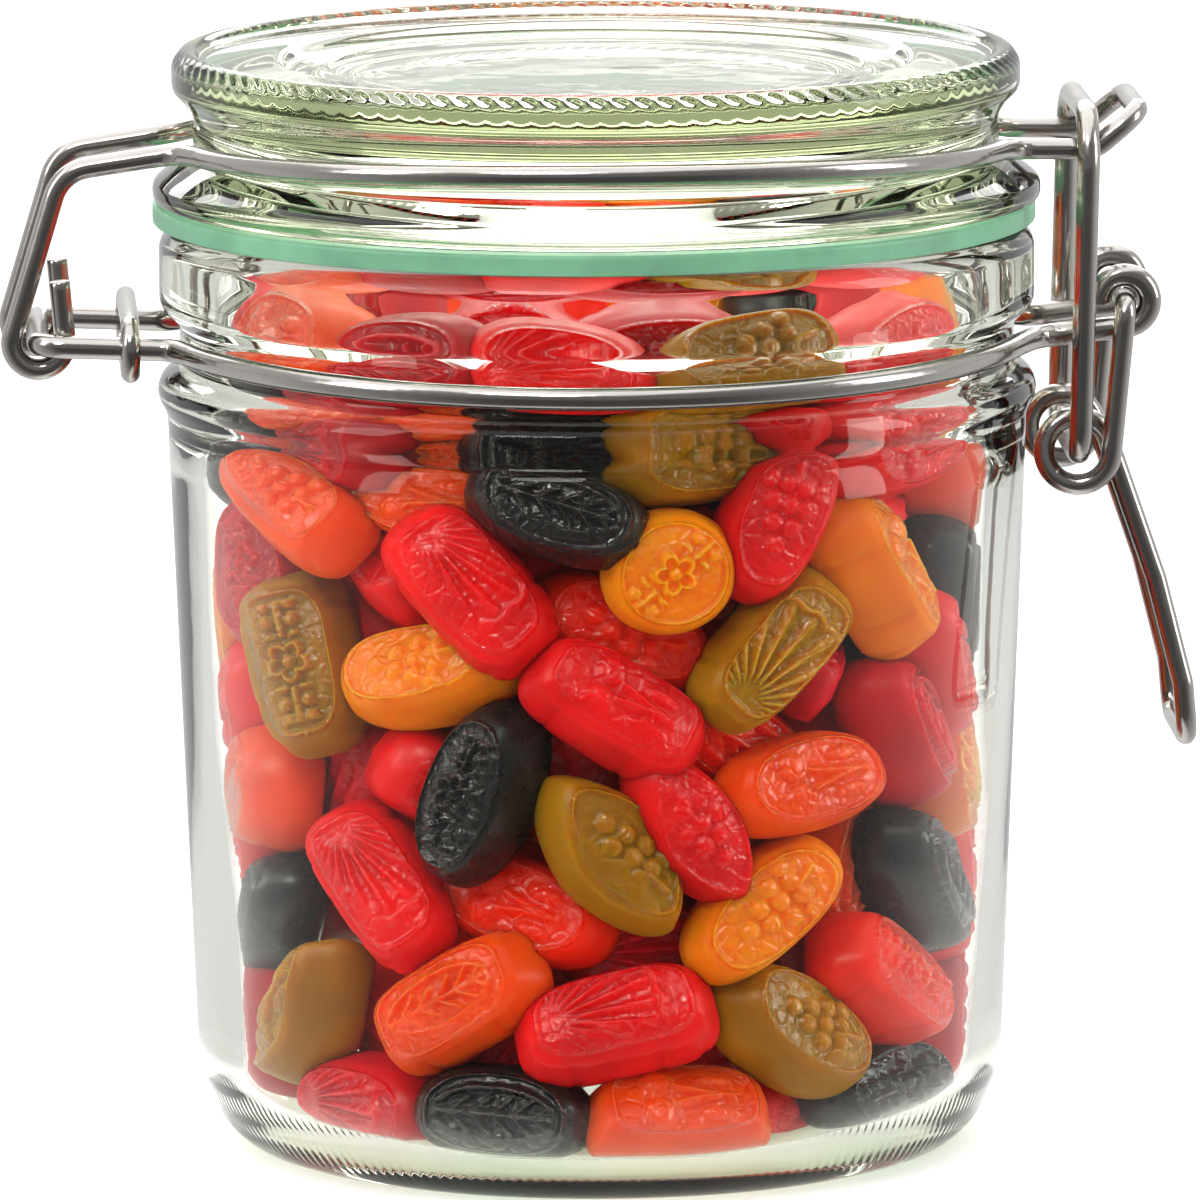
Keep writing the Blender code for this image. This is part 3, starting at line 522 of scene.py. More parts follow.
def wire(name, route, diameter, material, closed=False):
    """A round wire: a circle carried along the route, turned from point to point by the least turn
    that follows it; a closed wire spreads what is left of the turn over its length. Open ends are cut
    square with a small worn edge. UV map: millimetres along, share round."""
    route = evenly(route, 0.9)
    if closed:
        ahead = np.roll(route, -1, axis=0) - np.roll(route, 1, axis=0)
    else:
        ahead = np.gradient(route, axis=0)
    ahead /= np.linalg.norm(ahead, axis=1, keepdims=True)
    side = np.cross(ahead[0], [0.3, 0.1, 1.0])
    sides = []
    for heading in ahead:
        side = side - heading * (side @ heading)
        side /= np.linalg.norm(side)
        sides.append(side)
    sides = np.array(sides)
    across = np.cross(ahead, sides)
    if closed:
        left = math.atan2(sides[-1] @ across[0], sides[-1] @ sides[0])
        turn = -left * np.linspace(0.0, 1.0, len(sides))[:, None]
        sides = np.cos(turn) * sides + np.sin(turn) * across
        across = np.cross(ahead, sides)
    size = np.full(len(route), diameter / 2.0)
    run = np.concatenate([[0.0], np.cumsum(np.linalg.norm(np.diff(route, axis=0), axis=1))])
    if not closed:
        ends = [0, 0, 0]
        route = np.concatenate([route[ends], route[1:-1], route[[-1, -1, -1]]])
        route[2] += ahead[0] * WORN_EDGE
        route[-3] -= ahead[-1] * WORN_EDGE
        keep = np.concatenate([ends, np.arange(1, len(sides) - 1), [-1, -1, -1]])
        sides, across, size, run = sides[keep], across[keep], size[keep], run[keep]
        size[[0, -1]] = 0.0
        size[[1, -2]] -= WORN_EDGE
    angle = np.linspace(0.0, 2.0 * np.pi, WIRE_SIDES, endpoint=False)[None, :, None]
    circle = np.cos(angle) * sides[:, None] + np.sin(angle) * across[:, None]
    points = route[:, None] + size[:, None, None] * circle
    faces = grid_quads(len(route), WIRE_SIDES, closed)
    along = run[faces // WIRE_SIDES]
    along = np.where(along < along[:, 1:2] - 0.5 * run[-1], along + run[-1], along)
    around = (faces % WIRE_SIDES) / WIRE_SIDES
    around = np.where(around < around[:, :1] - 0.5, around + 1.0, around)
    return mesh_piece(name, points.reshape(-1, 3), faces, material, np.stack([along, around], axis=-1))


steel = steel_material()
neck_ring_radius = NECK_GROOVE_RADIUS + GAP + NECK_WIRE / 2.0
neck_ring = half_ring(neck_ring_radius, NECK_RING_SIDE_HEIGHT, NECK_RING_FRONT_HEIGHT,
                      HINGE_HALF_WIDTH + LEAVE * 0.6, EYE_HALF_WIDTH + LEAVE)
hinge_run = bent([
    (HINGE_BAR[0], 0.0, HINGE_BAR[1]),
    (HINGE_BAR[0], -HINGE_HALF_WIDTH, HINGE_BAR[1]),
    (-neck_ring_radius + 0.6, -HINGE_HALF_WIDTH, NECK_RING_SIDE_HEIGHT + 0.1),
    neck_ring[0],
], 2.5)
eye_run = bent([
    neck_ring[-1],
    (neck_ring_radius + 0.4, -EYE_HALF_WIDTH, NECK_RING_SIDE_HEIGHT),
    (LEVER_PIVOT[0], -EYE_HALF_WIDTH, LEVER_PIVOT[1] - EYE_RADIUS),
], 3.5)
eye_turn = circle_run(LEVER_PIVOT, EYE_RADIUS, -90, 188, -EYE_HALF_WIDTH, -EYE_HALF_WIDTH, 30)
neck_front = np.concatenate([hinge_run[1:-1], neck_ring, eye_run[1:-1], eye_turn])
neck = wire("neck_wire_steel", mirrored(neck_front[::-1]), NECK_WIRE, steel)

lid_ring_radius = LID_GROOVE_RADIUS + GAP + LID_WIRE / 2.0
lid_ring = half_ring(lid_ring_radius, LID_RING_SIDE_HEIGHT, LID_RING_FRONT_HEIGHT,
                     LID_LEG_HALF_WIDTH + 4.5, TONGUE_HALF_WIDTH + 4.5)
hook = circle_run(HINGE_BAR, HOOK_RADIUS, 0, -195, -LID_LEG_HALF_WIDTH, -LID_LEG_HALF_WIDTH, 24)
pin_top = (HINGE_BAR[0] + HOOK_PIN[0], -LID_LEG_HALF_WIDTH, HINGE_BAR[1] + HOOK_PIN[1])
leg = bent([
    hook[-1],
    (HINGE_BAR[0] + 2.6, -LID_LEG_HALF_WIDTH, LID_LEG_TOP),
    (-lid_ring_radius - 0.6, -LID_LEG_HALF_WIDTH, LID_RING_SIDE_HEIGHT + 0.1),
    lid_ring[0],
], 4.5)
tongue = bent([
    lid_ring[-1],
    (lid_ring_radius - 0.4, -TONGUE_HALF_WIDTH, TONGUE_HEIGHT + 0.1),
    (BAIL_TOP[0] + 0.9, -TONGUE_HALF_WIDTH, TONGUE_HEIGHT),
    (BAIL_TOP[0] + 5.7, -TONGUE_HALF_WIDTH + 0.2, TONGUE_HEIGHT + 4.0),
    (BAIL_TOP[0] + 5.7, 0.0, TONGUE_HEIGHT + 4.0),
], 3.2)
lid_front = np.concatenate([[pin_top], hook, leg[1:-1], lid_ring, tongue[1:-1]])
lid_hoop = wire("lid_wire_steel", mirrored(lid_front), LID_WIRE, steel)

clip_high = NECK_WIRE / 2.0 + CLIP_WIRE / 2.0 + GAP
clip_turn = np.linspace(np.pi / 2.0, -np.pi / 2.0, 16)
clip_end = np.stack([np.full(16, CLIP_X), HINGE_HALF_WIDTH + clip_high * np.cos(clip_turn),
                     NECK_RING_SIDE_HEIGHT + 0.25 + clip_high * np.sin(clip_turn)], axis=1)
clip_back = clip_end[::-1] * np.array([1.0, -1.0, 1.0])
clip = wire("wire_clip_steel", np.concatenate([clip_end, clip_back]), CLIP_WIRE, steel, closed=True)
for piece, node in ((neck, "neck_wire"), (lid_hoop, "lid_wire"), (clip, "wire_clip")):
    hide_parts(node)
    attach(piece, "jar")


# ---- Clasp --------------------------------------------------------------------------------------
# The lever turns in the neck wire's eyes; one coil in each of its legs carries the bail, a closed
# link that reaches over the tongue and pulls the lid down when the lever is pushed in.
BAIL_WIRE = 2.5
LEVER_WIRE = 2.3
LEVER_HALF_WIDTH = 11.0
HANDLE_HALF_WIDTH = 8.4
COIL_RADIUS = 3.6
BAIL_HALF_WIDTH = 13.7
BAIL_LOW_BEND = 3.0
BAIL_TOP_BEND = 5.5
HANDLE_KNEE = (60.1, 62.0)            # x and z of three bends down the lever's handle
HANDLE_ELBOW = (63.0, 50.5)
HANDLE_END = (63.5, 44.5)
HANDLE_HEADING = -69.0                # degrees, the way the handle leaves the coil

bail_low = np.array([BAIL_PIVOT[0], -BAIL_HALF_WIDTH, BAIL_PIVOT[1]])
bail_high = np.array([BAIL_TOP[0], -BAIL_HALF_WIDTH, BAIL_TOP[1]])
bail_middle = 0.5 * (bail_low + bail_high)
to_centre = np.array([1.0, 0.0, 1.0])
bail_front = np.concatenate([
    bent([bail_low * to_centre, bail_low, bail_middle], BAIL_LOW_BEND)[:-1],
    bent([bail_middle, bail_high, bail_high * to_centre], BAIL_TOP_BEND)[1:],
])
bail_route = np.concatenate([bail_front[:-1], bail_front[::-1][:-1] * np.array([1.0, -1.0, 1.0])])
bail = wire("bail_steel", bail_route, BAIL_WIRE, steel, closed=True)
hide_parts("bail")
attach(bail, "bail")

arm = np.array(BAIL_PIVOT) - np.array(LEVER_PIVOT)
heading = math.degrees(math.atan2(arm[1], arm[0]) + math.asin(COIL_RADIUS / np.linalg.norm(arm)))
coil_start = heading + 90.0
coil_sweep = -360.0 - (heading - HANDLE_HEADING)
coil = circle_run(BAIL_PIVOT, COIL_RADIUS, coil_start, coil_start + coil_sweep,
                  -LEVER_HALF_WIDTH, -HANDLE_HALF_WIDTH, 44)
lever_leg = bent([
    (LEVER_PIVOT[0], -EYE_HALF_WIDTH + 2.0, LEVER_PIVOT[1]),
    (LEVER_PIVOT[0], -LEVER_HALF_WIDTH, LEVER_PIVOT[1]),
    coil[0],
], 1.6)
handle = bent([
    coil[-1],
    (HANDLE_KNEE[0], -HANDLE_HALF_WIDTH, HANDLE_KNEE[1]),
    (HANDLE_ELBOW[0], -HANDLE_HALF_WIDTH - 0.6, HANDLE_ELBOW[1]),
    (HANDLE_END[0], -HANDLE_HALF_WIDTH - 0.6, HANDLE_END[1]),
    (HANDLE_END[0], 0.0, HANDLE_END[1]),
], 5.0)
lever_front = np.concatenate([lever_leg[:-1], coil, handle[1:-1]])
lever = wire("lever_steel", mirrored(lever_front), LEVER_WIRE, steel)
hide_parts("lever")
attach(lever, "lever")


# ---- Wine gums ----------------------------------------------------------------------------------
# Starch-moulded fruit gums, poured into the jar and settled against the glass: soft pillows with one
# pressed face that has a raised rim line and a simple relief inside it, in seven colours.
GUM_LENGTH = 21.4
GUM_WIDTH = 11.4
GUM_DEPTH = 9.6
GUM_SEAT = 5.1                        # from the glass to the middle of a gum that rests against it
GUM_COUNT = 185
HEAP_TOP = 95.5
HEAP_SEED = 7
HEAP_SPREAD = 36.0                    # gums start to settle within this radius
HEAP_ROUNDS = 420
HEAP_PUSH = 0.30                      # share of an overlap that one round takes away
HEAP_FALL = 0.06                      # fall in the first round, less in each later one
HEAP_HOLD = 0.5                       # share by which a listed gum goes back each round
GUM_WALL_GAP = 0.35                   # from the glass to a gum, as it settles
GUM_ROOM_GAP = 0.42                   # and at the least, once it has its form
GUM_ROLLS = (-5.0, 42.0)              # degrees, how far pressed faces are rolled upwards
BURIED_DEPTH = 11.0                   # a gum deeper behind the glass than this hardly shows
SHOWN_DEPTH = 9                       # a listed gum nearer the glass than this shows well,
CLEAR_DEPTH = 3                       # and best of all nearer than this, and within CLEAR_WIDTH
CLEAR_WIDTH = 34
GRIDS = {"clear": (156, 72), "shown": (76, 36), "far": (46, 24), "buried": (20, 10)}
ATTRIBUTES = (("pressed", "FLOAT", "value"), ("shade", "FLOAT", "value"), ("plan", "FLOAT_VECTOR", "vector"))
ROUND_SHARE = 0.68                    # a round gum's width, as a share of a long gum's length
OUTLINES = {"oval": 0.84, "bar": 0.60, "lozenge": 1.22, "round": 1.0}   # power of the plan's superellipse
# The section, as shares of the plan's edge and of half the depth: pressed face, flank, back.
SECTION = [(0.0, 1.0), (0.80, 0.94), (1.0, -0.20), (0.86, -0.94), (0.0, -1.0)]
PANEL_EDGE = 0.74                     # the rim line's place, as a share of the way to the plan's edge
RIM_HEIGHT = 0.20
PANEL_SINK = 0.40
RELIEF_HEIGHT = 0.80
FACE_RUN = 0.84                       # where the pressed face ends along the section,
FACE_SHARE = 0.62                     # and its share of the grid's rings
# Across, height, tilt, depth behind the glass, roll of the pressed face (mm and degrees), outline and
# colour. Tilt is positive where the right end is the higher one; roll turns the pressed face upwards.
FRONT_GUMS = [
    (-32, 74, -28, 0, 40, "bar", "orange"),
    (-18, 76, -10, 6, 10, "oval", "orange"),
    (-6, 75, -22, 0, 18, "oval", "black"),
    (-15, 66, -54, 0, 24, "bar", "red"),
    (6, 68, 30, 1, 5, "round", "amber"),
    (16, 74, 62, 0, 15, "oval", "red"),
    (27, 66, -52, 1, 35, "bar", "amber"),
    (36, 60, -75, 0, 0, "oval", "black"),
    (16, 59, 46, 0, 8, "bar", "olive"),
    (-32, 56, -58, 0, 35, "bar", "olive"),
    (-19, 56, 15, 3, 30, "oval", "amber"),
    (0, 53, -39, 0, 32, "bar", "red"),
    (30, 48, -55, 1, 20, "oval", "crimson"),
    (36, 43, 80, 0, 10, "oval", "amber"),
    (-34, 63, -25, 2, 30, "bar", "crimson"),
    (-25, 61, -30, 10, 0, "oval", "crimson"),
    (-36, 49, 60, 1, 0, "oval", "red"),
    (-36, 58, 70, 1, 0, "oval", "amber"),
    (-35, 41, 60, 0, 10, "round", "orange"),
    (-14, 44, 68, 0, 20, "oval", "black"),
    (0, 38, -50, 0, 25, "lozenge", "olive"),
    (19, 44, 10, 0, 18, "oval", "orange"),
    (32, 31, -50, 0, 14, "oval", "black"),
    (-24, 33, -47, 0, 28, "bar", "red"),
    (-35, 26, 55, 0, 8, "oval", "black"),
    (15, 31, 42, 0, 14, "oval", "amber"),
    (-31, 17, 60, 0, 22, "lozenge", "olive"),
    (-16, 21, 33, 0, 14, "bar", "orange"),
    (0, 19, 13, 0, 32, "bar", "red"),
    (28, 21, -38, 0, 22, "bar", "scarlet"),
    (18, 17, -35, 1, 25, "oval", "olive"),
    (6, 8, -3, 0, 45, "bar", "orange"),
    (-12, 9, -4, 0, 12, "oval", "black"),
    (-24, 8, 0, 2, 0, "oval", "crimson"),
    (28, 8, 18, 0, 20, "oval", "black"),
    (1, 60, -30, 6, 15, "oval", "scarlet"),
    (-9, 30, -20, 6, 15, "oval", "scarlet"),
    (12, 48, -35, 6, 0, "oval", "scarlet"),
    (-24, 41, 60, 9, 0, "oval", "crimson"),
    (-36, 34, 70, 1, 0, "oval", "red"),
    (-35, 15, 75, 1, 0, "oval", "crimson"),
    (10, 38, -60, 8, 0, "oval", "crimson"),
    (24, 34, 60, 7, 0, "oval", "orange"),
    (3, 27, 0, 8, 0, "oval", "crimson"),
    (36, 29, 80, 1, 0, "oval", "red"),
    (35, 15, 70, 1, 0, "oval", "crimson"),
    (-30, 89, -5, 2, 20, "oval", "orange"),
    (-20, 89, 8, 1, 10, "oval", "crimson"),
    (-6, 89, -8, 0, 10, "oval", "red"),
    (5, 90, 0, 7, 0, "oval", "crimson"),
    (14, 89, 8, 0, 35, "bar", "olive"),
    (27, 89, 10, 1, 10, "oval", "red"),
    (34, 87, 60, 3, 0, "oval", "amber"),
    (-26, 82, -15, 4, 0, "oval", "crimson"),
    (-6, 82, 0, 6, 0, "oval", "black"),
    (8, 81, 0, 4, 10, "oval", "olive"),
    (29, 79, 10, 1, 15, "oval", "red"),
    (36, 73, -50, 1, 0, "oval", "orange"),
    (-4, 79, -10, 11, 0, "oval", "crimson"),
    (-16, 83, 0, 6, 0, "oval", "orange"),
    (19, 6, 10, 6, 0, "oval", "red"),
    (-4, 45, -60, 9, 0, "oval", "crimson"),
    (-9, 14, 20, 8, 0, "oval", "crimson"),
    (-22, 16, -30, 9, 0, "oval", "red"),
    (12, 15, 40, 8, 0, "oval", "red"),
    (-30, 27, 20, 9, 0, "oval", "crimson"),
    (22, 13, 0, 8, 0, "oval", "crimson"),
]
GUM_COLOURS = {
    "red": (0.84, 0.010, 0.013),
    "crimson": (0.58, 0.005, 0.015),
    "scarlet": (0.95, 0.032, 0.004),
    "orange": (0.98, 0.098, 0.004),
    "amber": (1.0, 0.255, 0.004),
    "olive": (0.42, 0.195, 0.004),
    "black": (0.014, 0.012, 0.012),
}


def rest_heap(count=GUM_COUNT, rounds=HEAP_ROUNDS):
    """Let the gums settle: each is three balls in a row, pushed apart where they meet, drawn inside
    the glass and slowly down, while the front ones are held near their places. Returns centres, long
    axes and the normals of the pressed faces, one row for each gum."""
    draw = np.random.default_rng(HEAP_SEED)
    shown = np.array([place[:5] for place in FRONT_GUMS], dtype=float)
    ball = 0.25 * (GUM_WIDTH + GUM_DEPTH)
    reach = 0.5 * GUM_LENGTH - ball
    turns = draw.uniform(0.0, 2.0 * np.pi, count)
    spread = np.sqrt(draw.uniform(0.0, 1.0, count)) * HEAP_SPREAD
    centre = np.stack([spread * np.cos(turns), spread * np.sin(turns),
                       np.linspace(BASE_THICKNESS + ball, HEAP_TOP - ball, count)], axis=1)
    axis = draw.normal(size=(count, 3))
    roll = draw.uniform(*GUM_ROLLS, count)
    pinned = len(shown)
    across, height, tilt, depth, roll[:pinned] = shown.T
    wall = inside_radius(height) - GUM_SEAT - depth
    front = np.stack([across, -np.sqrt(np.maximum(wall ** 2 - across ** 2, 9.0)), height], axis=1)
    side = np.arctan2(across, -front[:, 1])
    lean = np.radians(tilt)
    front_axis = np.stack([np.cos(lean) * np.cos(side), np.cos(lean) * np.sin(side), np.sin(lean)], axis=1)
    centre[:pinned] = front
    axis[:pinned] = front_axis
    axis /= np.linalg.norm(axis, axis=1, keepdims=True)
    steps = np.array([-reach, 0.0, reach])
    owner = np.repeat(np.arange(count), 3)
    other = owner[:, None] != owner[None, :]
    table = np.linspace(0.0, HEAP_TOP + 10.0, 120)
    radii = inside_radius(table)
    for turn in range(rounds):
        balls = centre[:, None, :] + axis[:, None, :] * steps[None, :, None]
        spots = balls.reshape(-1, 3)
        apart = spots[:, None, :] - spots[None, :, :]
        gap = np.sqrt((apart ** 2).sum(axis=2)) + 1e-9
        push = np.where(other & (gap < 2.0 * ball), (2.0 * ball - gap) / gap, 0.0)
        spots = spots + HEAP_PUSH * (apart * push[:, :, None]).sum(axis=1)
        spots[:, 2] -= HEAP_FALL * max(0.0, 1.0 - turn / (0.7 * rounds))
        level = spots[:, 2]
        room = np.interp(level, table, radii) - ball - GUM_WALL_GAP
        flat = np.hypot(spots[:, 0], spots[:, 1]) + 1e-9
        pull = np.minimum(1.0, room / flat)
        spots[:, 0] *= pull
        spots[:, 1] *= pull
        spots[:, 2] = np.clip(level, BASE_THICKNESS + ball, HEAP_TOP - ball)
        balls = spots.reshape(count, 3, 3)
        centre = balls.mean(axis=1)
        axis = balls[:, 2] - balls[:, 0]
        axis /= np.linalg.norm(axis, axis=1, keepdims=True)
        centre[:pinned] += HEAP_HOLD * (front - centre[:pinned])
        axis[:pinned] += HEAP_HOLD * (front_axis - axis[:pinned])
        axis /= np.linalg.norm(axis, axis=1, keepdims=True)
    outward = centre * np.array([1.0, 1.0, 0.0])
    outward += draw.normal(size=(count, 3)) * 5.0 * (np.arange(count) >= pinned)[:, None]
    outward -= axis * (outward * axis).sum(axis=1, keepdims=True)
    outward /= np.linalg.norm(outward, axis=1, keepdims=True)
    sideways = np.cross(outward, axis)
    sideways *= np.where(sideways[:, 2:] > 0.0, 1.0, -1.0)
    roll = np.radians(roll)[:, None]
    return centre, axis, np.cos(roll) * outward + np.sin(roll) * sideways


def line_relief(distance, width):
    """A raised line: a bell curve over the distance from its middle."""
    return np.exp(-(distance / width) ** 2)


def boss(x, y, size):
    """A low dome: the square root of what is left of its radius, squared."""
    return np.sqrt(np.clip(1.0 - (x ** 2 + y ** 2) / size ** 2, 0.0, 1.0))


def pressed_relief(motif, x, y):
    """Height of the relief inside the rim line, over plan places in millimetres: a bunch of berries,
    two cherries on their stalks, a leaf, a shell's ribs, or a flower between two sprigs."""
    if motif == 0:
        height = line_relief(y - 0.22 * (x - 3.0), 0.42) * (x > 3.2) * (x < 6.2)
        for row in range(4):
            for berry in range(4 - row):
                across = 2.0 * (berry - 0.5 * (3 - row))
                height = np.maximum(height, boss(x - 3.2 + 2.3 * row, y - across, 1.12))
        return height
    if motif == 1:
        height = boss(x + 2.8, np.abs(y) - 1.75, 1.75)
        bow = 0.05 * np.clip(5.4 - x, 0.0, 9.0) ** 1.6
        stalk = line_relief(np.abs(y) - bow, 0.42) * (x > -1.3) * (x < 5.6)
        leaf = boss((x - 3.4) / 2.1, (np.abs(y) - 2.0) / 0.8, 1.0)
        return np.maximum(np.maximum(height, stalk), 0.8 * leaf)
    if motif == 2:
        veins = line_relief(np.abs(y) - 0.8 * ((x + 30.0) % 2.3), 0.36) * (np.abs(x) < 5.8)
        edge = line_relief(np.abs(y) - 2.8 * np.sqrt(np.clip(1.0 - (x / 6.6) ** 2, 0.0, 1.0)), 0.40)
        return np.maximum(np.maximum(line_relief(y, 0.42), edge) * (np.abs(x) < 6.6), veins)
    if motif == 3:
        ribs = 0.5 + 0.5 * np.cos(26.0 * np.arctan2(y, x + 7.0))
        fan = np.clip(3.6 - 3.0 * np.abs(np.hypot(x + 7.0, y) - 7.0) / 4.6, 0.0, 1.0)
        scallop = line_relief(np.hypot(x + 7.0, y) - 11.8 - 0.4 * ribs, 0.42)
        return np.maximum(ribs ** 1.5 * fan, scallop)
    petal = np.hypot(x, y) - 1.25 - 0.85 * np.abs(np.cos(2.5 * np.arctan2(y, x)))
    flower = np.maximum(line_relief(petal, 0.40), boss(x, y, 0.75))
    sprig = np.maximum(boss((np.abs(x) - 3.5) % 1.9 - 0.95, np.abs(y) - 1.25, 0.80), line_relief(y, 0.36))
    return np.maximum(flower, sprig * (np.abs(x) > 2.7) * (np.abs(x) < 6.6))


def gum_surface(outline, motif, length, width, depth, around, rings, draw):
    """Points of one gum, how pressed each is, and its place in the plan. The plan's edge is a
    superellipse; SECTION, its corners rounded, runs from the middle of the pressed face over the flank
    to the middle of the back. The face carries a sunk panel, the rim line at PANEL_EDGE and the motif;
    bars have shallow grooves across the flank, and slow waves make every gum a little uneven."""
    path = rounded(SECTION, 0.34, steps=9)
    run = np.concatenate([[0.0], np.cumsum(np.linalg.norm(np.diff(path, axis=0), axis=1))])
    fine = int(FACE_SHARE * rings)
    rest = np.linspace(FACE_RUN, run[-1], rings - fine + 1)
    marks = np.concatenate([np.linspace(0.0, FACE_RUN, fine), rest[1:]])
    rho = np.interp(marks, run, path[:, 0])[:, None]
    rise = np.interp(marks, run, path[:, 1])[:, None]
    angle = np.linspace(0.0, 2.0 * np.pi, around, endpoint=False)[None, :]
    cos, sin = np.cos(angle), np.sin(angle)
    sway = draw.uniform(0.0, 2.0 * np.pi, 4)
    uneven = 1.0 + 0.020 * np.sin(2.0 * angle + sway[0]) + 0.014 * np.sin(3.0 * angle + sway[1])
    power = OUTLINES[outline]
    x = 0.5 * length * rho * np.sign(cos) * np.abs(cos) ** power * uneven
    y = 0.5 * width * rho * np.sign(sin) * np.abs(sin) ** power * uneven
    z = 0.5 * depth * rise + 0.20 * np.sin(0.45 * x + sway[2]) * np.cos(0.6 * y + sway[3])
    flank = np.clip((rho - 0.82) / 0.1, 0.0, 1.0) * (outline == "bar")
    y = y * (1.0 - 0.06 * flank * line_relief((x + 40.0) % 4.6 - 2.3, 0.50))
    front = (rise > 0.5) * 1.0
    panel = front / (1.0 + np.exp((rho - PANEL_EDGE + 0.03) / 0.014))
    rim = front * line_relief(rho - PANEL_EDGE, 0.026)
    z = z + RIM_HEIGHT * rim - PANEL_SINK * panel + RELIEF_HEIGHT * panel * pressed_relief(motif, x, y)
    pressed = np.broadcast_to(panel + 2.0 * rim, x.shape)
    plan = np.stack([x.ravel(), y.ravel(), np.full(x.size, 3.0 * sway[0])], axis=1)
    return np.stack(np.broadcast_arrays(x, y, z), axis=-1), pressed, plan


def jelly_material(name, colour):
    """Fruit jelly: light scatters a few millimetres inside; the skin is satin and hazier in patches.
    The attribute `pressed` is 1 on the pressed panel and 3 on its rim line, and makes the skin there
    glossier and pebbled, with creases between small cells laid out over the attribute `plan`."""
    material, shader, out, add = new_material("jelly_" + name)
    dark = name == "black"
    place = add("TexCoord")
    plan = add("Attribute", attribute_name="plan")
    pressed = add("Attribute", attribute_name="pressed")
    shade = add("Attribute", attribute_name="shade")
    cloud = add("TexNoise", Vector=(place, "Object"), Scale=130.0, Detail=3.0)
    tone = add("ValToRGB", Fac=(cloud, "Fac"))
    set_shades(tone, colour, (0.82, 1.15), (0.3, 0.75))
    dim = add("Mix", data_type="RGBA", blend_type="MULTIPLY", Factor=1.0, A=(tone, "Color"),
              B=(shade, "Color"))
    haze = add("TexNoise", Vector=(place, "Object"), Scale=420.0, Detail=4.0)
    rough = add("MapRange", Value=(haze, "Fac"), From_Min=0.3, From_Max=0.7,
                To_Min=0.22 if dark else 0.28, To_Max=0.34 if dark else 0.44)
    gloss = add("MapRange", Value=(pressed, "Fac"), To_Min=1.0, To_Max=0.38 if dark else 0.44)
    polish = add("Math", (rough, "Result"), (gloss, "Result"), operation="MULTIPLY")
    glaze = add("MapRange", Value=(pressed, "Fac"), To_Min=0.05, To_Max=0.60)
    cells = add("TexVoronoi", feature="DISTANCE_TO_EDGE", Vector=(plan, "Vector"), Scale=0.62)
    crease = add("MapRange", interpolation_type="SMOOTHSTEP", Value=(cells, "Distance"), From_Max=0.22)
    inside = add("Math", (crease, "Result"), (pressed, "Fac"), operation="MULTIPLY", use_clamp=True)
    folds = add("Bump", Height=(inside, "Value"), Strength=0.5, Distance=0.00024)
    pebble = add("TexNoise", Vector=(place, "Object"), Scale=1900.0, Detail=2.0)
    fine = add("Math", (pebble, "Fac"), (pressed, "Fac"), operation="MULTIPLY")
    bump = add("Bump", Height=(fine, "Value"), Normal=(folds, "Normal"), Strength=0.7, Distance=0.00020)
    tune(shader, Base_Color=(dim, "Result"), Roughness=(polish, "Value"), IOR=1.45,
         Normal=(bump, "Normal"), Specular_IOR_Level=0.55 if dark else 0.28,
         Subsurface_Weight=0.3 if dark else 1.0, Subsurface_Radius=(1.0, 0.45, 0.25),
         Subsurface_Scale=0.0045, Subsurface_Anisotropy=0.5, Coat_Weight=(glaze, "Result"),
         Coat_Roughness=0.10, Coat_Normal=(bump, "Normal"))
    return material


centre, axis, normal = rest_heap()
size_draw = np.random.default_rng(HEAP_SEED + 1)
look_draw = np.random.default_rng(HEAP_SEED + 2)
kinds = {}
for i in range(GUM_COUNT):
    in_front = i < len(FRONT_GUMS)
    if in_front:
        outline, flavour = FRONT_GUMS[i][5:]
    else:
        # Behind the front row the gums that show between it are red ones of three sorts.
        choice = ("crimson", "red", "scarlet") if centre[i][1] < -8.0 else list(GUM_COLOURS)
        outline = ("oval", "bar", "lozenge")[i % 3]
        flavour = choice[(5 * i + i // 6) % len(choice)]
    length, width, depth = np.array([GUM_LENGTH, GUM_WIDTH, GUM_DEPTH]) * size_draw.uniform(0.94, 1.05)
    if outline == "round":
        length = width = ROUND_SHARE * GUM_LENGTH
    wall = inside_radius(centre[i][2]) - math.hypot(centre[i][0], centre[i][1])
    buried = wall > BURIED_DEPTH
    buried = buried and BASE_THICKNESS + BURIED_DEPTH < centre[i][2] < HEAP_TOP - BURIED_DEPTH
    shown = in_front and FRONT_GUMS[i][3] < SHOWN_DEPTH
    clear = shown and FRONT_GUMS[i][3] < CLEAR_DEPTH and abs(FRONT_GUMS[i][0]) < CLEAR_WIDTH
    around, rings = GRIDS["clear" if clear else "shown" if shown else "buried" if buried else "far"]
    points, pressed, plan = gum_surface(outline, i % 5, length, width, depth, around, rings, look_draw)
    turn = np.stack([axis[i], np.cross(normal[i], axis[i]), normal[i]], axis=1)
    points = centre[i] + points.reshape(-1, 3) @ turn.T
    points[:, 2] = np.clip(points[:, 2], BASE_THICKNESS + 0.1, HEAP_TOP)
    reach = np.hypot(points[:, 0], points[:, 1])
    room = inside_radius(points[:, 2]) - GUM_ROOM_GAP
    points[:, :2] *= np.minimum(1.0, room / reach)[:, None]
    shade = np.full(len(points), look_draw.uniform(0.86, 1.0))
    kinds.setdefault((flavour, outline), []).append((points, rings, around, pressed, shade, plan))

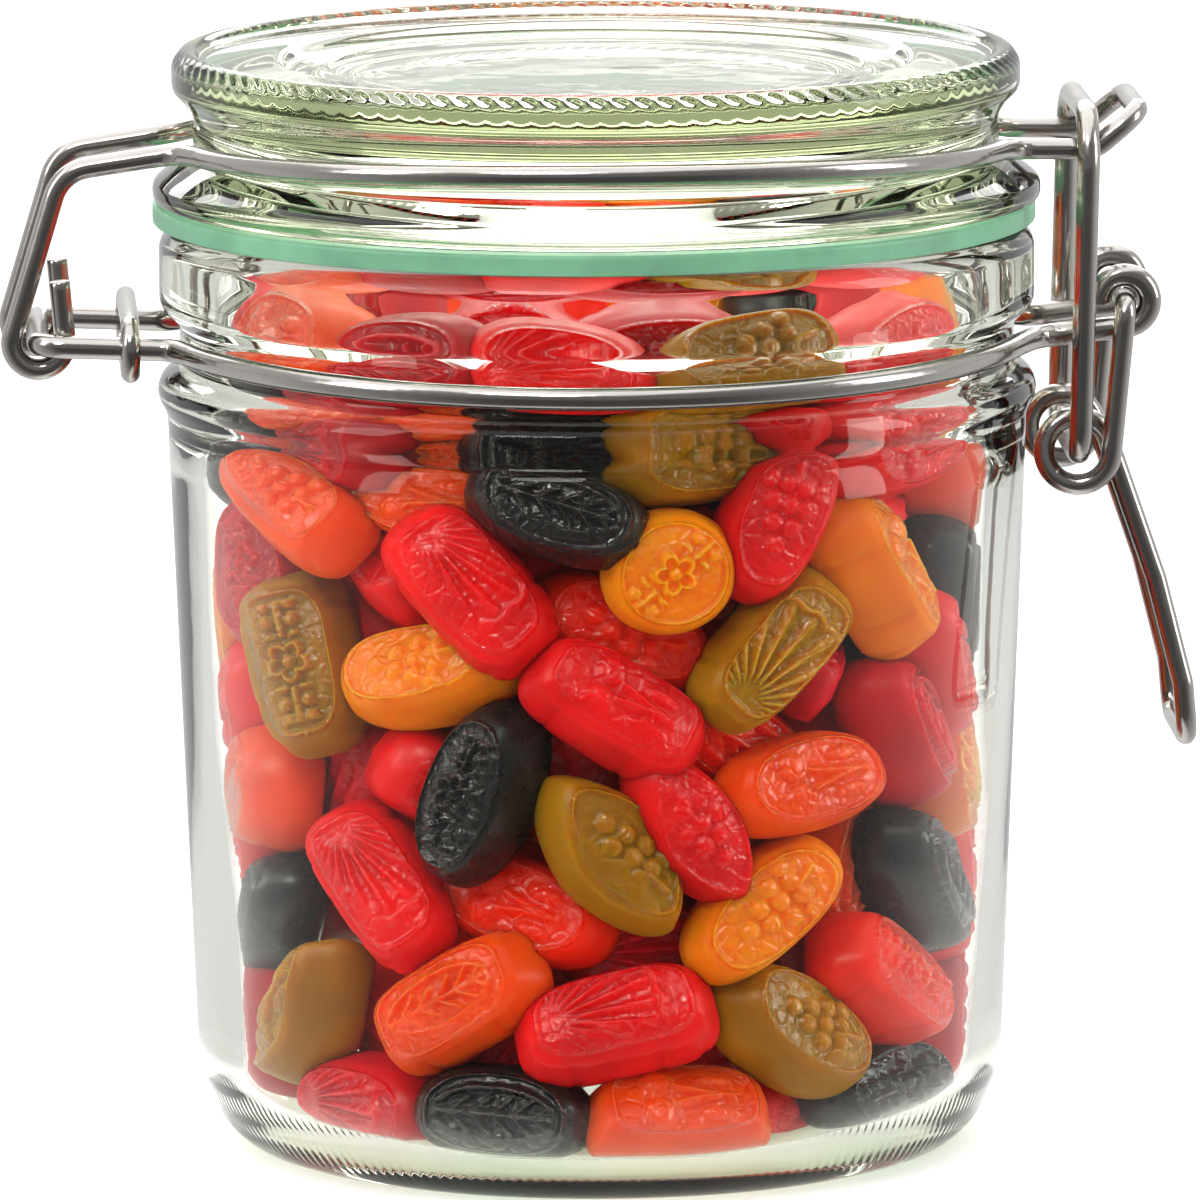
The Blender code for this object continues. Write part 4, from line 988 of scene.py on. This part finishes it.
jelly = {name: jelly_material(name, colour) for name, colour in GUM_COLOURS.items()}
for (flavour, outline), gums in sorted(kinds.items()):
    points, faces, start = [], [], 0
    for spots, rings, around, *_ in gums:
        faces.append(grid_quads(rings, around) + start)
        points.append(spots)
        start += len(spots)
    name = "gums_" + flavour + "_" + outline
    mesh = bpy.data.meshes.new(name)
    mesh.from_pydata((np.concatenate(points) * MM).tolist(), [], np.concatenate(faces).tolist())
    for place, (label, kind, field) in enumerate(ATTRIBUTES, start=3):
        values = np.concatenate([np.ravel(gum[place]) for gum in gums]).astype(np.float32)
        mesh.attributes.new(label, kind, "POINT").data.foreach_set(field, values)
    piece = placed(mesh, jelly[flavour], 1e-8)
    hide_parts("wine_gums")
    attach(piece, "jar")


# ---- Studio -------------------------------------------------------------------------------------
# A white table, faintly lit from below, runs far behind the jar; the lights are large and soft. Under the
# jar its glow is painted dimmer and greener, as painted light come through the thick foot. In sharp
# reflections the table's far parts are painted dark, as painted shade of an unlit room beyond a small lit
# set.
FLOOR_COLOUR = (0.80, 0.80, 0.80)
FLOOR_GLOW = 0.30
FLOOR_FRONT_PAINTED_REFLECTION = 0.10                    # painted reflection: shade painted on the table's far parts in sharp reflections, at a heading
FLOOR_BACK_PAINTED_REFLECTION = 0.80                     # of FLOOR_HEADINGS[0] and [1] along Y
FLOOR_HEADINGS = (-0.90, 0.20)
FLOOR_FAR = (0.050, 0.085)            # metres from the jar's axis over which those tones begin
FLOOR_PAINTED_FOOT_LIGHT = (0.26, 0.28, 0.18)      # painted light: a dimmer, greener glow under the jar, for the light that comes through its thick foot
FLOOR_PAINTED_FOOT_LIGHT_EDGE = (0.034, 0.042)


def table_material():
    """White, with a glow that is painted dimmer and greener under the jar, as light come through its foot;
    in sharp reflections its far parts are painted shade, darker towards the camera, by the way they lie."""
    material, shader, out, add = new_material("table_white")
    place = add("TexCoord")
    away = add("VectorMath", (place, "Object"), operation="LENGTH")
    # Painted light: near the jar's axis the glow turns to the greener tone of light come through the foot.
    painted_light_fade = add("MapRange", Value=(away, "Value"), From_Min=FLOOR_PAINTED_FOOT_LIGHT_EDGE[0],
                From_Max=FLOOR_PAINTED_FOOT_LIGHT_EDGE[1])
    glow = add("Mix", data_type="RGBA", Factor=(painted_light_fade, "Result"), A=(*FLOOR_PAINTED_FOOT_LIGHT, 1.0),
               B=(*[FLOOR_GLOW] * 3, 1.0))
    tune(shader, Base_Color=(*FLOOR_COLOUR, 1.0), Roughness=0.9, Specular_IOR_Level=0.1,
         Emission_Color=(glow, "Result"), Emission_Strength=1.0)
    # Painted reflection: rays that come off a sharp reflection see the table's far parts as this painted
    # shade.
    parts = add("SeparateXYZ", Vector=(place, "Object"))
    heading = add("Math", (parts, "Y"), (away, "Value"), operation="DIVIDE")
    tone = add("MapRange", Value=(heading, "Value"), From_Min=FLOOR_HEADINGS[0],
               From_Max=FLOOR_HEADINGS[1], To_Min=FLOOR_FRONT_PAINTED_REFLECTION, To_Max=FLOOR_BACK_PAINTED_REFLECTION)
    painted_reflection = add("Emission", Color=(tone, "Result"), Strength=1.0)
    path = add("LightPath")
    sharp = add("Math", (path, "Glossy Depth"), 1.0, operation="MINIMUM")
    far = add("MapRange", Value=(away, "Value"), From_Min=FLOOR_FAR[0], From_Max=FLOOR_FAR[1])
    sharp_far = add("Math", (far, "Result"), (sharp, "Value"), operation="MULTIPLY")
    surface = add("MixShader", (sharp_far, "Value"), (shader, "BSDF"), (painted_reflection, "Emission"))
    tune(out, Surface=(surface, "Shader"))
    return material


floor_points = [(-4.0, -3.0, 0.0), (4.0, -3.0, 0.0), (4.0, 9.0, 0.0), (-4.0, 9.0, 0.0)]
floor_mesh = bpy.data.meshes.new("floor")
floor_mesh.from_pydata(floor_points, [], [(0, 1, 2, 3)])
floor_mesh.materials.append(table_material())
floor = bpy.data.objects.new("floor", floor_mesh)
bpy.context.scene.collection.objects.link(floor)


def soft_light(name, place, target, width, height, power):
    """An area light at one place, turned to another."""
    data = bpy.data.lights.new(name, "AREA")
    data.shape = "RECTANGLE"
    data.size = width
    data.size_y = height
    data.energy = power
    lamp = bpy.data.objects.new(name, data)
    bpy.context.scene.collection.objects.link(lamp)
    lamp.location = place
    heading = np.array(target) - np.array(place)
    yaw = math.atan2(-heading[0], heading[1])
    pitch = math.acos(-heading[2] / np.linalg.norm(heading))
    lamp.rotation_euler = (pitch, 0.0, yaw)


soft_light("light_top", (-0.1, 0.05, 1.2), (0.0, 0.0, 0.05), 2.2, 1.8, 17.0)
soft_light("light_left", (-1.15, -0.45, 0.75), (0.0, 0.0, 0.06), 0.4, 0.8, 5.5)
soft_light("light_right", (1.2, -0.25, 0.5), (0.0, 0.0, 0.06), 0.35, 0.8, 6.0)
soft_light("light_front", (-0.45, -1.15, 1.25), (0.0, 0.0, 0.05), 0.55, 0.4, 8.5)
soft_light("light_back", (0.0, 1.5, 0.9), (0.0, 0.6, 0.0), 1.8, 0.8, 16.0)

# The room: dark towards the camera, bright behind the jar, so that thick glass and wire get edges.
world = bpy.data.worlds.new("studio")
world.use_nodes = True
bpy.context.scene.world = world
add = builder(world.node_tree)
direction = add("TexCoord")
parted = add("SeparateXYZ", Vector=(direction, "Generated"))
brightness = add("MapRange", Value=(parted, "Y"), From_Min=-0.80, From_Max=0.60, To_Min=0.22, To_Max=0.85)
tune(world.node_tree.nodes["Background"], Color=(brightness, "Result"))

bpy.context.scene.view_settings.view_transform = "Standard"
